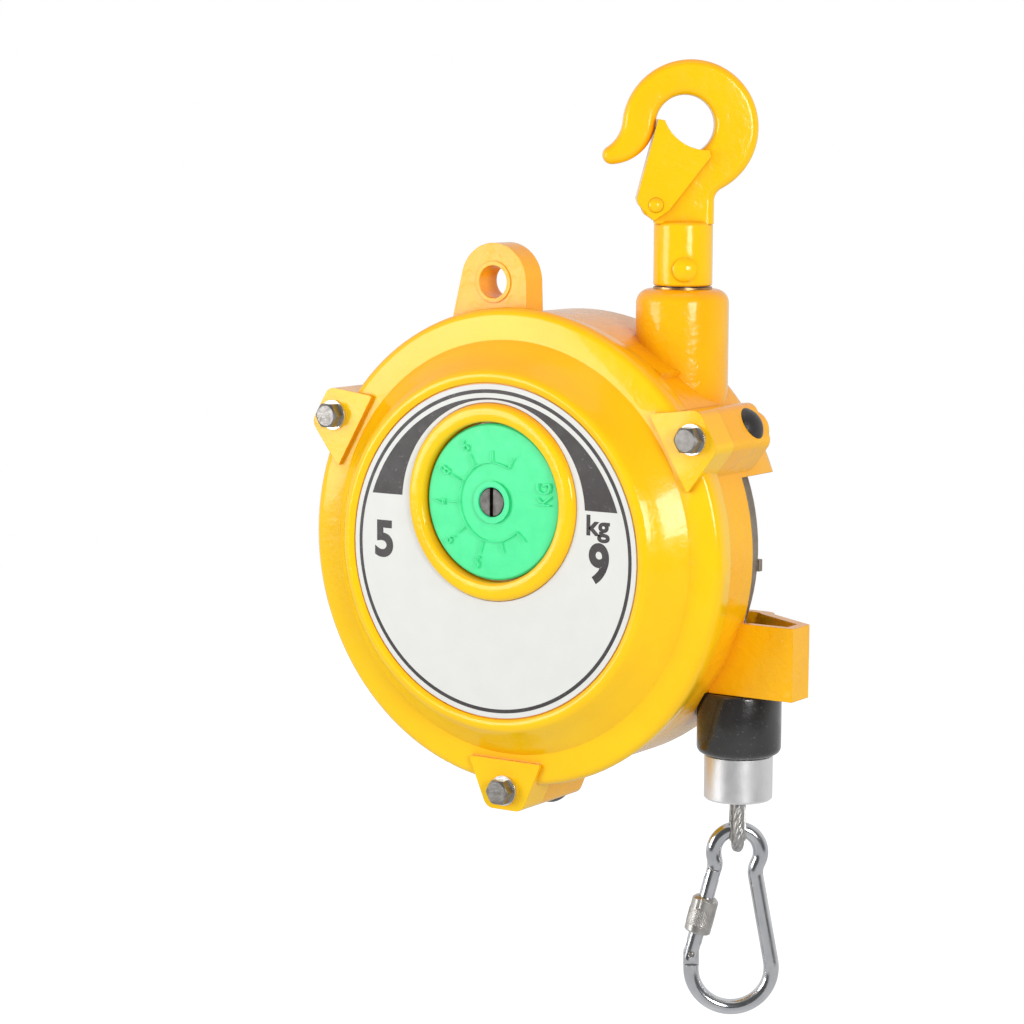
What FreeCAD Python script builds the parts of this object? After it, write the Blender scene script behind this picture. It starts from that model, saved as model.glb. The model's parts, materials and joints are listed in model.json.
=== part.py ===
import FreeCAD, Part
import math
import os

import Sketcher
from FreeCAD import Placement, Rotation, Vector

# Tool balancer: a spring-driven rope drum in a round two-part casting. It hangs from a swivelling
# safety hook, and a steel rope with a screw-gate carabiner carries the tool below it.
#
# Row frame: +Z up, the dial faces -Y, +X to the right of the dial. The origin is the seat of the
# top hook, the point that the load hangs from. All lengths are in millimetres, angles in degrees.

# ---------------------------------------------------------------- driving dimensions
SIZES = {
    # where the main axes stand, counted from the housing axis and the label's face
    "hook_across": (56.5, "housing axis to hook axis, across"),
    "hook_depth": (58.0, "label face to hook and rope axes"),
    "seat_height": (189.0, "housing axis up to the hook seat"),
    "rope_across": (86.5, "housing axis to rope axis, across"),
    "hook_turn": (33.0, "angle of the hook and carabiner planes about the vertical"),
    # label and dial
    "label_radius": (70.0, "name plate"),
    "label_thickness": (0.8, "name plate"),
    "bezel_outer": (41.4, "raised ring round the dial"),
    "bezel_bore": (33.6, "bore that the dial turns in"),
    "bezel_height": (2.6, "ring above the label face"),
    "dial_radius": (32.8, "green dial"),
    "dial_face_depth": (0.7, "dial face behind the label face"),
    "dial_thickness": (3.0, "green dial"),
    "dial_shaft_radius": (6.2, "slotted shaft end"),
    "dial_journal": (5.0, "dial shaft in the cover"),
    "slot_width": (1.8, "screwdriver slot"),
    # gear train
    "gear_module": (0.8, "dial gears"),
    "pinion_teeth": (14.0, "pinion on the arbor"),
    "dial_teeth": (38.0, "dial gear"),
    "gear_width": (4.0, "dial gears"),
    "gear_depth": (8.6, "front face of the dial gears"),
    "worm_module": (1.5, "worm and wheel"),
    "wheel_teeth": (30.0, "worm wheel"),
    "worm_pitch_radius": (8.0, "worm"),
    "wheel_width": (8.0, "worm wheel"),
    "wheel_depth": (18.5, "middle of the worm wheel"),
    "backlash": (0.25, "tooth play at the pitch line"),
    # front cover casting
    "cover_radius": (100.9, "front cover"),
    "cover_draft": (1.5, "cover is smaller at the parting line by"),
    "cover_wall": (4.2, "front cover"),
    "bead_width": (5.6, "rounded bead round the label"),
    "bead_round": (3.8, "rounding of the bead"),
    "rim_inner": (87.5, "inner edge of the flat rim"),
    "rim_depth": (12.6, "flat rim behind the label face"),
    "rim_round": (3.5, "outer corner of the rim"),
    "parting_depth": (25.5, "joint between cover and housing"),
    # rear housing casting
    "housing_radius": (98.0, "rear housing"),
    "housing_wall": (4.4, "rear housing"),
    "housing_depth": (78.0, "rear face"),
    "rear_round": (6.0, "rear corner"),
    "spigot_length": (2.5, "lip inside the cover"),
    "spigot_gap": (0.2, "lip to cover"),
    "hub_radius": (21.0, "rear hub"),
    "hub_height": (4.0, "rear hub above the rear face"),
    # window over the drum
    "window_depth": (46.5, "front edge of the window"),
    "window_top": (33.0, "top edge above the housing axis"),
    "window_inner": (79.0, "inner radius in the rear wall"),
    # three bolt lugs
    "lug_reach": (111.4, "radial flat of a lug"),
    "lug_top_width": (18.0, "width at the radial flat"),
    "lug_root_width": (35.0, "width at the cover rim"),
    "lug_round": (5.0, "outer corners of a lug"),
    "lug_front": (10.5, "front face of a lug"),
    "lug_rear": (56.0, "rear face of a lug"),
    "lug_first": (30.0, "angle of the first lug"),
    "bolt_inset": (8.4, "bolt axis below a lug's flat"),
    "bolt_radius": (3.0, "M6 bolt"),
    "bolt_across_flats": (10.0, "M6 hexagon"),
    "bolt_head": (5.0, "head height"),
    "bolt_length": (40.0, "bolt below its head"),
    "washer_radius": (6.4, "washer below a bolt head"),
    "washer_sheet": (1.2, "washer below a bolt head"),
    "bolt_boss": (8.2, "round boss behind a lug"),
    "plug_radius": (7.0, "domed plug on a lug"),
    "plug_rise": (3.2, "height of the plug's dome"),
    "plug_depth": (46.9, "plug axis behind the label face"),
    "plug_stem": (4.0, "plug stem"),
    "plug_stem_length": (4.5, "plug stem"),
    # hook boss and swivel
    "boss_radius": (19.4, "hook boss"),
    "boss_top": (109.0, "top of the boss above the housing axis"),
    "boss_round": (6.0, "top edge of the boss"),
    "boss_roof": (10.0, "metal above the thrust bearing"),
    "washer_disc": (0.8, "washer between hook socket and boss"),
    "saddle_reach": (98.3, "flat saddle from the housing axis"),
    "saddle_start": (1.0, "saddle before its tangent point"),
    "saddle_angle": (61.0, "direction that the saddle faces"),
    "saddle_run": (21.0, "saddle beyond its tangent point"),
    "stem_radius": (9.3, "swivel stem"),
    "running_gap": (0.06, "radial play of a turning fit"),
    "seat_gap": (0.02, "radial play of a fixed fit"),
    "side_gap": (0.3, "play beside a moving part"),
    # safety eye
    "eye_across": (-17.6, "safety eye hole, across"),
    "eye_height": (110.6, "safety eye hole above the housing axis"),
    "eye_outer": (16.4, "outer radius of the eye"),
    "eye_hole": (7.0, "hole of the eye"),
    "eye_front": (27.0, "front face of the eye"),
    "eye_thickness": (12.5, "thickness of the eye"),
    # rope bracket
    "bracket_front": (43.0, "front wall"),
    "bracket_end": (119.0, "end wall from the housing axis"),
    "bracket_end_back": (57.5, "back edge of the end wall"),
    "bracket_top": (-27.0, "top edge"),
    "bracket_bottom": (-57.5, "underside"),
    "bracket_floor": (4.5, "floor thickness"),
    # drum, arbor and spring
    "rope_radius": (2.4, "steel rope"),
    "rope_pitch": (5.4, "groove to groove"),
    "rope_wraps": (5.0, "grooves on the drum"),
    "wrap_opening": (22.0, "open angle of the rear wrap, where the rope leaves the drum"),
    "groove_floor": (0.75, "floor of a groove as a share of its mouth"),
    "drum_taper": (0.6, "growth of radius per groove"),
    "flange_radius": (88.0, "smooth rear flange of the drum"),
    "drum_gap": (8.5, "housing's rear face to the drum's rear face"),
    "drum_front": (31.0, "front face of the drum"),
    "spring_radius": (76.0, "spring chamber"),
    "drum_web": (6.0, "web behind the spring"),
    "lid_seat": (84.5, "recess for the spring cover in the drum's front"),
    "lid_sheet": (2.5, "spring cover"),
    "lid_screw_circle": (80.2, "radius of the spring cover's screws"),
    "screw_head": (2.8, "spring cover's screws, head"),
    "screw_sink": (1.5, "spring cover's screws, head height"),
    "screw_shank": (1.5, "spring cover's screws, M3 shank"),
    "screw_reach": (9.5, "spring cover's screws, length"),
    "drum_hub": (22.0, "drum hub"),
    "bearing_bore": (8.5, "ball bearings, inside"),
    "bearing_outer": (17.5, "ball bearings, outside"),
    "bearing_width": (10.0, "ball bearings"),
    "arbor_collar": (14.0, "collar that holds the spring"),
    "spring_strip": (1.0, "spring strip thickness"),
    "spring_turns": (6.0, "turns of the spring"),
    # rope end
    "buffer_radius": (17.7, "rubber buffer"),
    "buffer_length": (26.7, "rubber buffer"),
    "sleeve_radius": (14.4, "aluminium sleeve"),
    "sleeve_length": (19.4, "aluminium sleeve"),
    "mouth_depth": (9.0, "room for the two rope legs in the sleeve"),
    "loop_drop": (13.3, "sleeve to the centre of the loop's bend"),
    "loop_radius": (7.5, "rope centre round the thimble"),
    "thimble_sheet": (0.9, "thimble"),
    "thimble_width": (6.5, "thimble"),
    # top hook
    "bowl_radius": (12.2, "inside of the hook"),
    "hook_outer": (28.1, "outside of the hook"),
    "hook_shift": (2.2, "outside centre to the right of the bowl centre"),
    "hook_thickness": (15.0, "hook, front to back"),
    "hook_edge": (3.3, "rounding of the hook's edges"),
    "socket_radius": (12.3, "round socket below the hook"),
    "socket_top": (52.0, "top of the socket below the seat"),
    "socket_bottom": (78.8, "foot of the socket below the seat"),
    "cross_pin_drop": (71.7, "cross pin below the seat"),
    "cross_pin_radius": (4.0, "cross pin"),
    "pivot_across": (-11.9, "latch pivot from the hook axis"),
    "pivot_drop": (45.3, "latch pivot below the seat"),
    "pivot_boss": (6.0, "round ear at the latch pivot"),
    "latch_pin_radius": (2.2, "latch pin"),
    "latch_sheet": (1.5, "latch sheet"),
    "latch_slot": (6.0, "slot in the hook's ear for the latch spring"),
    "thrust_chamber": (15.0, "chamber below the boss"),
    "thrust_bearing": (6.0, "thrust bearing height"),
    "nut_height": (7.5, "swivel nut"),
    "nut_across_flats": (24.0, "swivel nut"),
    "nut_seat": (8.0, "stem inside the nut"),
    # carabiner
    "wire_radius": (3.25, "carabiner wire"),
    "wire_lift": (0.9, "the ring's curve above the thimble"),
    "ring_radius": (9.9, "small end, wire centre"),
    "bow_radius": (17.0, "large end, wire centre"),
    "bow_drop": (50.2, "small end centre to large end centre"),
    "bow_shift": (1.8, "large end to the left of the small end"),
    "screw_radius": (5.6, "screw sleeve"),
    "screw_length": (15.5, "screw sleeve"),
    "screw_bevel": (1.2, "lead at the sleeve's top, clear of the far leg with the gate open"),
    "tongue": (2.8, "flat tongues at the gate's hinge and nose"),
    "nose_tongue": (4.0, "nose tongue below the joint"),
    "nose_bevel": (1.4, "bevelled tip of the nose tongue"),
    "gate_pin": (1.3, "gate pin"),
}


class Size:
    """A length or angle: its value, and the expression that ties it to the spreadsheet."""

    def __init__(self, value, text):
        self.value = float(value)
        self.text = text

    def __float__(self):
        return self.value

    def __neg__(self):
        return Size(-self.value, "(-%s)" % self.text)

    def __add__(self, other):
        other = as_size(other)
        return Size(self.value + other.value, "(%s + %s)" % (self.text, other.text))

    def __sub__(self, other):
        other = as_size(other)
        return Size(self.value - other.value, "(%s - %s)" % (self.text, other.text))

    def __mul__(self, other):
        other = as_size(other)
        return Size(self.value * other.value, "(%s * %s)" % (self.text, other.text))

    def __truediv__(self, other):
        other = as_size(other)
        return Size(self.value / other.value, "(%s / %s)" % (self.text, other.text))

    def __radd__(self, other):
        return as_size(other) + self

    def __rsub__(self, other):
        return as_size(other) - self

    def __rmul__(self, other):
        return as_size(other) * self

    def __rtruediv__(self, other):
        return as_size(other) / self


def as_size(number):
    return number if isinstance(number, Size) else Size(number, "(%r)" % float(number))


def sine(angle):
    angle = as_size(angle)
    return Size(math.sin(math.radians(angle.value)), "sin(%s)" % angle.text)


def cosine(angle):
    angle = as_size(angle)
    return Size(math.cos(math.radians(angle.value)), "cos(%s)" % angle.text)


def root(number):
    number = as_size(number)
    return Size(math.sqrt(number.value), "sqrt(%s)" % number.text)


def polar(radius, angle):
    return radius * cosine(angle), radius * sine(angle)


# ---------------------------------------------------------------- document and spreadsheet
doc = FreeCAD.newDocument("tool_balancer")
sheet = doc.addObject("Spreadsheet::Sheet", "Sizes")
for row, (alias, (number, meaning)) in enumerate(SIZES.items(), start=1):
    sheet.set("A%d" % row, alias)
    sheet.set("B%d" % row, "%g" % number)
    sheet.setAlias("B%d" % row, alias)
    sheet.set("C%d" % row, meaning)
doc.recompute()


class Named:
    """The driving dimensions as attributes, each tied to its cell."""


d = Named()
for alias, (number, meaning) in SIZES.items():
    setattr(d, alias, Size(number, "Sizes." + alias))

# sizes that follow from the driving ones
d.bolt_circle = d.lug_reach - d.bolt_inset
d.flange_rear = d.housing_depth - d.drum_gap
d.dial_offset = d.gear_module * (d.pinion_teeth + d.dial_teeth) / 2
d.wheel_pitch_radius = d.worm_module * d.wheel_teeth / 2
d.worm_across = d.wheel_pitch_radius + d.worm_pitch_radius
d.cavity_radius = d.housing_radius - d.housing_wall
d.cavity_rear = d.housing_depth - d.housing_wall
d.cover_back_radius = d.cover_radius - d.cover_draft
d.cover_bore = d.cover_back_radius - d.cover_wall
d.dial_floor = d.dial_face_depth + d.dial_thickness + d.side_gap
d.rope_at_rest = d.rope_across
d.buffer_top = d.bracket_bottom - d.side_gap
d.buffer_foot = d.buffer_top - d.buffer_length
d.sleeve_foot = d.buffer_foot - d.sleeve_length
d.loop_centre = d.sleeve_foot - d.loop_drop
d.wire_hang = d.loop_centre - (d.loop_radius - d.rope_radius - d.thimble_sheet) \
    + d.wire_radius + d.wire_lift

subparts = []


# ---------------------------------------------------------------- modelling helpers
def bind(thing, prop, size):
    """Tie a property to the spreadsheet."""
    thing.setExpression(prop, as_size(size).text)


def new_body(label, at=(0, 0, 0), turn=None):
    """A sub-part in its own frame, placed in the row frame."""
    body = doc.addObject("PartDesign::Body", label)
    body.Label = label
    place(body, at, turn)
    subparts.append(body)
    return body


def place(thing, at, turn=None):
    at = [as_size(value) for value in at]
    thing.Placement = Placement(Vector(*[value.value for value in at]), turn or Rotation())
    for axis, value in zip("xyz", at):
        bind(thing, "Placement.Base." + axis, value)


def facing_front(angle=0.0):
    """Local x to the right, local y up, local z out of the dial."""
    return Rotation(Vector(0, 1, 0), -angle) * Rotation(Vector(1, 0, 0), 90)


def facing_turned():
    """As facing_front, with the plane turned about the vertical to the hook's direction."""
    return Rotation(Vector(0, 0, 1), float(d.hook_turn)) * Rotation(Vector(1, 0, 0), 90)


HOUSING_AXIS = (-d.hook_across, -d.hook_depth, -d.seat_height)
ROPE_AXIS = (d.rope_across - d.hook_across, as_size(0), -d.seat_height)


def sketch(body, plane, offset=0, name="Sketch"):
    """A sketch on one of the body's own origin planes, moved along the plane's normal."""
    drawing = body.newObject("Sketcher::SketchObject", name)
    support = [item for item in body.Origin.OriginFeatures if item.Role == plane + "_Plane"][0]
    drawing.AttachmentSupport = [(support, "")]
    drawing.MapMode = "FlatFace"
    offset = as_size(offset)
    drawing.AttachmentOffset = Placement(Vector(0, 0, offset.value), Rotation())
    bind(drawing, "AttachmentOffset.Base.z", offset)
    return drawing


def fix_point(drawing, geometry, end, x, y):
    for kind, size in (("DistanceX", as_size(x)), ("DistanceY", as_size(y))):
        number = drawing.addConstraint(Sketcher.Constraint(kind, -1, 1, geometry, end, size.value))
        drawing.setExpression("Constraints[%d]" % number, size.text)


def fix_radius(drawing, geometry, radius):
    radius = as_size(radius)
    number = drawing.addConstraint(Sketcher.Constraint("Radius", geometry, radius.value))
    drawing.setExpression("Constraints[%d]" % number, radius.text)


def arc_between(start, end, radius, turn):
    """An arc of under half a turn; turn is +1 anticlockwise, -1 clockwise."""
    middle = (start + end) / 2
    chord = end - start
    left = Vector(-chord.y, chord.x, 0).normalize()
    rise = math.sqrt(max(radius * radius - chord.Length * chord.Length / 4, 0))
    centre = middle + left * (rise * turn)
    first, last = (start, end) if turn > 0 else (end, start)
    angle = [math.atan2(p.y - centre.y, p.x - centre.x) for p in (first, last)]
    if angle[1] < angle[0]:
        angle[1] += 2 * math.pi
    return Part.ArcOfCircle(Part.Circle(centre, Vector(0, 0, 1), radius), angle[0], angle[1])


def outline(drawing, points, closed=True):
    """Draw straight runs and arcs through the points, each tied to the spreadsheet.

    A point is (x, y) where a straight run ends, or (x, y, radius, turn) where an arc ends.
    """
    where = [Vector(float(p[0]), float(p[1]), 0) for p in points]
    count = len(points)
    pieces = []
    for index in range(0 if closed else 1, count):
        before = where[index - 1]
        point = points[index]
        if len(point) == 4:
            turn = point[3]
            curve = arc_between(before, where[index], float(point[2]), turn)
            piece = drawing.addGeometry(curve, False)
            ends = (1, 2) if turn > 0 else (2, 1)
            fix_radius(drawing, piece, point[2])
        else:
            piece = drawing.addGeometry(Part.LineSegment(before, where[index]), False)
            ends = (1, 2)
        fix_point(drawing, piece, ends[1], point[0], point[1])
        pieces.append((piece, ends))
    for (one, one_ends), (two, two_ends) in zip(pieces, pieces[1:]):
        drawing.addConstraint(Sketcher.Constraint("Coincident", one, one_ends[1], two, two_ends[0]))
    if closed:
        (one, one_ends), (two, two_ends) = pieces[-1], pieces[0]
        drawing.addConstraint(Sketcher.Constraint("Coincident", one, one_ends[1], two, two_ends[0]))
    else:
        fix_point(drawing, pieces[0][0], pieces[0][1][0], points[0][0], points[0][1])


def circle(drawing, x, y, radius):
    centre = Vector(float(x), float(y), 0)
    ring = Part.Circle(centre, Vector(0, 0, 1), float(radius))
    piece = drawing.addGeometry(ring, False)
    fix_point(drawing, piece, 3, x, y)
    fix_radius(drawing, piece, radius)


def hexagon(drawing, x, y, across_flats):
    corner = across_flats / math.sqrt(3)
    outline(drawing, [(x + corner * cosine(60 * k), y + corner * sine(60 * k)) for k in range(6)])


def extrude(body, drawing, length, down=False, both=False, cut=False):
    """Pad a sketch along its normal, or pocket it against its normal."""
    kind = "PartDesign::Pocket" if cut else "PartDesign::Pad"
    result = body.newObject(kind, "Pocket" if cut else "Pad")
    result.Profile = (drawing, [""])
    result.Type = "Length"
    result.Length = float(length)
    bind(result, "Length", length)
    result.Reversed = down
    if both:
        result.SideType = "Symmetric"
    return result


def pocket(body, drawing, length, along=False, both=False):
    """Cut a sketch's shape away, against the plane's normal, or along it where that is set."""
    doc.recompute()
    before = body.Tip.Shape.Volume
    result = extrude(body, drawing, length, down=along, both=both, cut=True)
    doc.recompute()
    if not result.Shape.Volume < before - 1e-6:
        raise RuntimeError("a pocket in %s removed nothing" % body.Label)
    return result


def revolve(body, drawing, cut=False, opening=0):
    """Turn a sketch a full turn about its vertical axis, or all but an opening."""
    kind = "PartDesign::Groove" if cut else "PartDesign::Revolution"
    if cut:
        doc.recompute()
        before = body.Tip.Shape.Volume
    result = body.newObject(kind, "Groove" if cut else "Revolution")
    result.Profile = (drawing, [""])
    result.ReferenceAxis = (drawing, ["V_Axis"])
    bind(result, "Angle", 360 - as_size(opening))
    if cut:
        doc.recompute()
        if not result.Shape.Volume < before - 1e-6:
            raise RuntimeError("a groove in %s removed nothing" % body.Label)
    return result


def round_pattern(body, features, count):
    """Repeat features round the body's own z axis."""
    axis = [item for item in body.Origin.OriginFeatures if item.Role == "Z_Axis"][0]
    result = body.newObject("PartDesign::PolarPattern", "PolarPattern")
    result.Originals = features
    result.Axis = (axis, [""])
    result.Angle = 360
    count = as_size(count)
    result.Occurrences = int(count.value)
    bind(result, "Occurrences", count)
    body.Tip = result
    return result


def edges_where(body, test):
    """Names of the edges of the body's latest solid that pass the test."""
    doc.recompute()
    shape = body.Tip.Shape
    return ["Edge%d" % (n + 1) for n, edge in enumerate(shape.Edges) if test(edge)]


def soften(body, test, radius, kind="Fillet"):
    """Fillet or chamfer the edges that pass the test."""
    names = edges_where(body, test)
    if not names:
        raise RuntimeError("no edge to round in %s" % body.Label)
    base = body.Tip
    result = body.newObject("PartDesign::" + kind, kind)
    result.Base = (base, names)
    prop = "Radius" if kind == "Fillet" else "Size"
    setattr(result, prop, float(radius))
    bind(result, prop, radius)
    body.Tip = result
    return result


def round_steps(centre, radius, first, last, steps=3):
    """Points of a round corner as short straight runs, from one angle to the other."""
    angles = [first + (last - first) * k / steps for k in range(steps + 1)]
    return [(centre[0] + radius * cosine(a), centre[1] + radius * sine(a)) for a in angles]


def near(value, target, slack=0.01):
    return abs(value - float(target)) < slack


def turned_piece(label, at, turn, profile):
    """A sub-part turned on a lathe: the profile holds radius and height along its axis."""
    body = new_body(label, at, turn)
    drawing = sketch(body, "XZ")
    outline(drawing, profile)
    revolve(body, drawing)
    return body


# ---------------------------------------------------------------- bolt lugs, shared by both castings
def lug_points(angle):
    """Four corners of a lug in the front view, at an angle round the housing axis."""
    inner = d.rim_inner + 2.5
    half_root = d.lug_root_width / 2
    half_top = d.lug_top_width / 2
    root_out = d.rim_inner + 4
    lean = arctan(half_root - half_top, d.lug_reach - root_out)
    corner = 45 - lean / 2
    back = d.lug_round * sine(corner) / cosine(corner)
    slope = (d.lug_reach - back * cosine(lean), half_top + back * sine(lean))
    round_off = (d.lug_round, 1)
    corners = [(inner, -half_root), (root_out, -half_root), (slope[0], -slope[1]),
               (d.lug_reach, back - half_top) + round_off, (d.lug_reach, half_top - back),
               slope + round_off, (root_out, half_root), (inner, half_root)]
    return [(c[0] * cosine(angle) - c[1] * sine(angle), c[0] * sine(angle) + c[1] * cosine(angle))
            + tuple(c[2:]) for c in corners]


def add_lugs(body, front, rear):
    drawing = sketch(body, "XY", -rear, "LugSketch")
    outline(drawing, lug_points(d.lug_first))
    lug = extrude(body, drawing, rear - front)
    round_pattern(body, [lug], 3)


def drill_lugs(body, front, rear, radius):
    """Bolt holes through the three lugs."""
    drawing = sketch(body, "XY", -front, "BoltHoleSketch")
    for k in range(3):
        x, y = polar(d.bolt_circle, d.lug_first + 120 * k)
        circle(drawing, x, y, radius)
    pocket(body, drawing, rear - front)


# ---------------------------------------------------------------- front cover
def front_cover():
    """Cast cover: label seat, bead, sloping flank, flat rim, dial bezel and three lugs."""
    body = new_body("front_cover", HOUSING_AXIS, facing_front())
    seat = d.label_radius + 0.6
    drawing = sketch(body, "XZ", 0, "CoverProfile")
    bead_centre = (seat + d.bead_width * 0.45, -d.bead_round * 0.75)
    rim_centre = (d.cover_radius - d.rim_round, -d.rim_depth - d.rim_round)
    bead_arc = round_steps(bead_centre, d.bead_round, 131, 36, 5)
    flank_middle = (bead_arc[-1][0] + 5.2, bead_arc[-1][1] - 6.4)
    outline(drawing, [(0, -d.label_thickness), (seat, -d.label_thickness), (seat, -0.1)]
            + bead_arc + [flank_middle, (d.rim_inner, -d.rim_depth)]
            + round_steps(rim_centre, d.rim_round, 90, 0)
            + [(d.cover_back_radius, -d.parting_depth), (0, -d.parting_depth)])
    revolve(body, drawing)
    add_lugs(body, d.lug_front, d.parting_depth)

    # raised bezel ring round the dial
    ring = sketch(body, "XZ", -d.dial_offset, "BezelProfile")
    ring_width = d.bezel_outer - d.bezel_bore
    outer, inner = ring_width * 0.36, ring_width * 0.2
    outer_centre = (d.bezel_outer - outer, d.bezel_height - outer)
    inner_centre = (d.bezel_bore + inner, d.bezel_height - inner)
    outline(ring, [(0, -d.dial_floor - 3), (d.bezel_outer, -d.dial_floor - 3)]
            + round_steps(outer_centre, outer, 0, 90, 4)
            + round_steps(inner_centre, inner, 90, 180)
            + [(d.bezel_bore, -d.dial_floor), (0, -d.dial_floor)])
    revolve(body, ring)

    # inside of the casting
    hollow = sketch(body, "XZ", 0, "CavityProfile")
    wall = d.cover_wall
    outline(hollow, [
        (0, -d.label_thickness - wall),
        (seat - 2, -d.label_thickness - wall),
        (d.rim_inner - wall * 0.7, -d.rim_depth - wall),
        (d.cover_bore, -d.rim_depth - wall),
        (d.cover_bore, -d.parting_depth - 1),
        (0, -d.parting_depth - 1),
    ])
    revolve(body, hollow, cut=True)

    # dial recess, with a floor that carries the dial shaft and the arbor's front end
    floor = sketch(body, "XY", -d.gear_depth + d.side_gap, "BearingBossSketch")
    circle(floor, 0, d.dial_offset, d.dial_journal + 4)
    extrude(body, floor, d.gear_depth - d.side_gap - d.dial_floor)
    boss = sketch(body, "XY", -d.gear_depth + d.side_gap, "ArborBossSketch")
    circle(boss, 0, 0, 8)
    extrude(body, boss, d.gear_depth - d.side_gap - d.label_thickness - 1)
    block = sketch(body, "XZ", -20, "WormBearingSketch")
    outline(block, [(-d.worm_across - 7, -5), (-d.worm_across - 7, -d.parting_depth + 1),
                    (-d.worm_across + 6, -d.parting_depth + 1), (-d.worm_across + 6, -5)])
    extrude(body, block, 6)
    recess = sketch(body, "XY", d.bezel_height + 1, "DialRecessSketch")
    circle(recess, 0, d.dial_offset, d.bezel_bore)
    pocket(body, recess, d.bezel_height + 1 + d.dial_floor)
    bore = sketch(body, "XY", 0, "DialShaftBoreSketch")
    circle(bore, 0, d.dial_offset, d.dial_journal + d.running_gap)
    pocket(body, bore, d.parting_depth)
    stub = sketch(body, "XY", -d.dial_floor - 1.2, "ArborBoreSketch")
    circle(stub, 0, 0, 3.4 + d.running_gap)
    pocket(body, stub, d.parting_depth)

    drill_lugs(body, 0, d.parting_depth + 1, d.bolt_radius + 0.3)
    hole = sketch(body, "XZ", d.label_radius - 10, "WormHoleSketch")
    circle(hole, -d.worm_across, -d.wheel_depth, 4.4 + d.running_gap)
    pocket(body, hole, 50, along=True)
    hole = sketch(body, "XZ", -21, "WormTopHoleSketch")
    circle(hole, -d.worm_across, -d.wheel_depth, 4.4 + d.running_gap)
    pocket(body, hole, 8, along=True)
    return body


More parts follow.
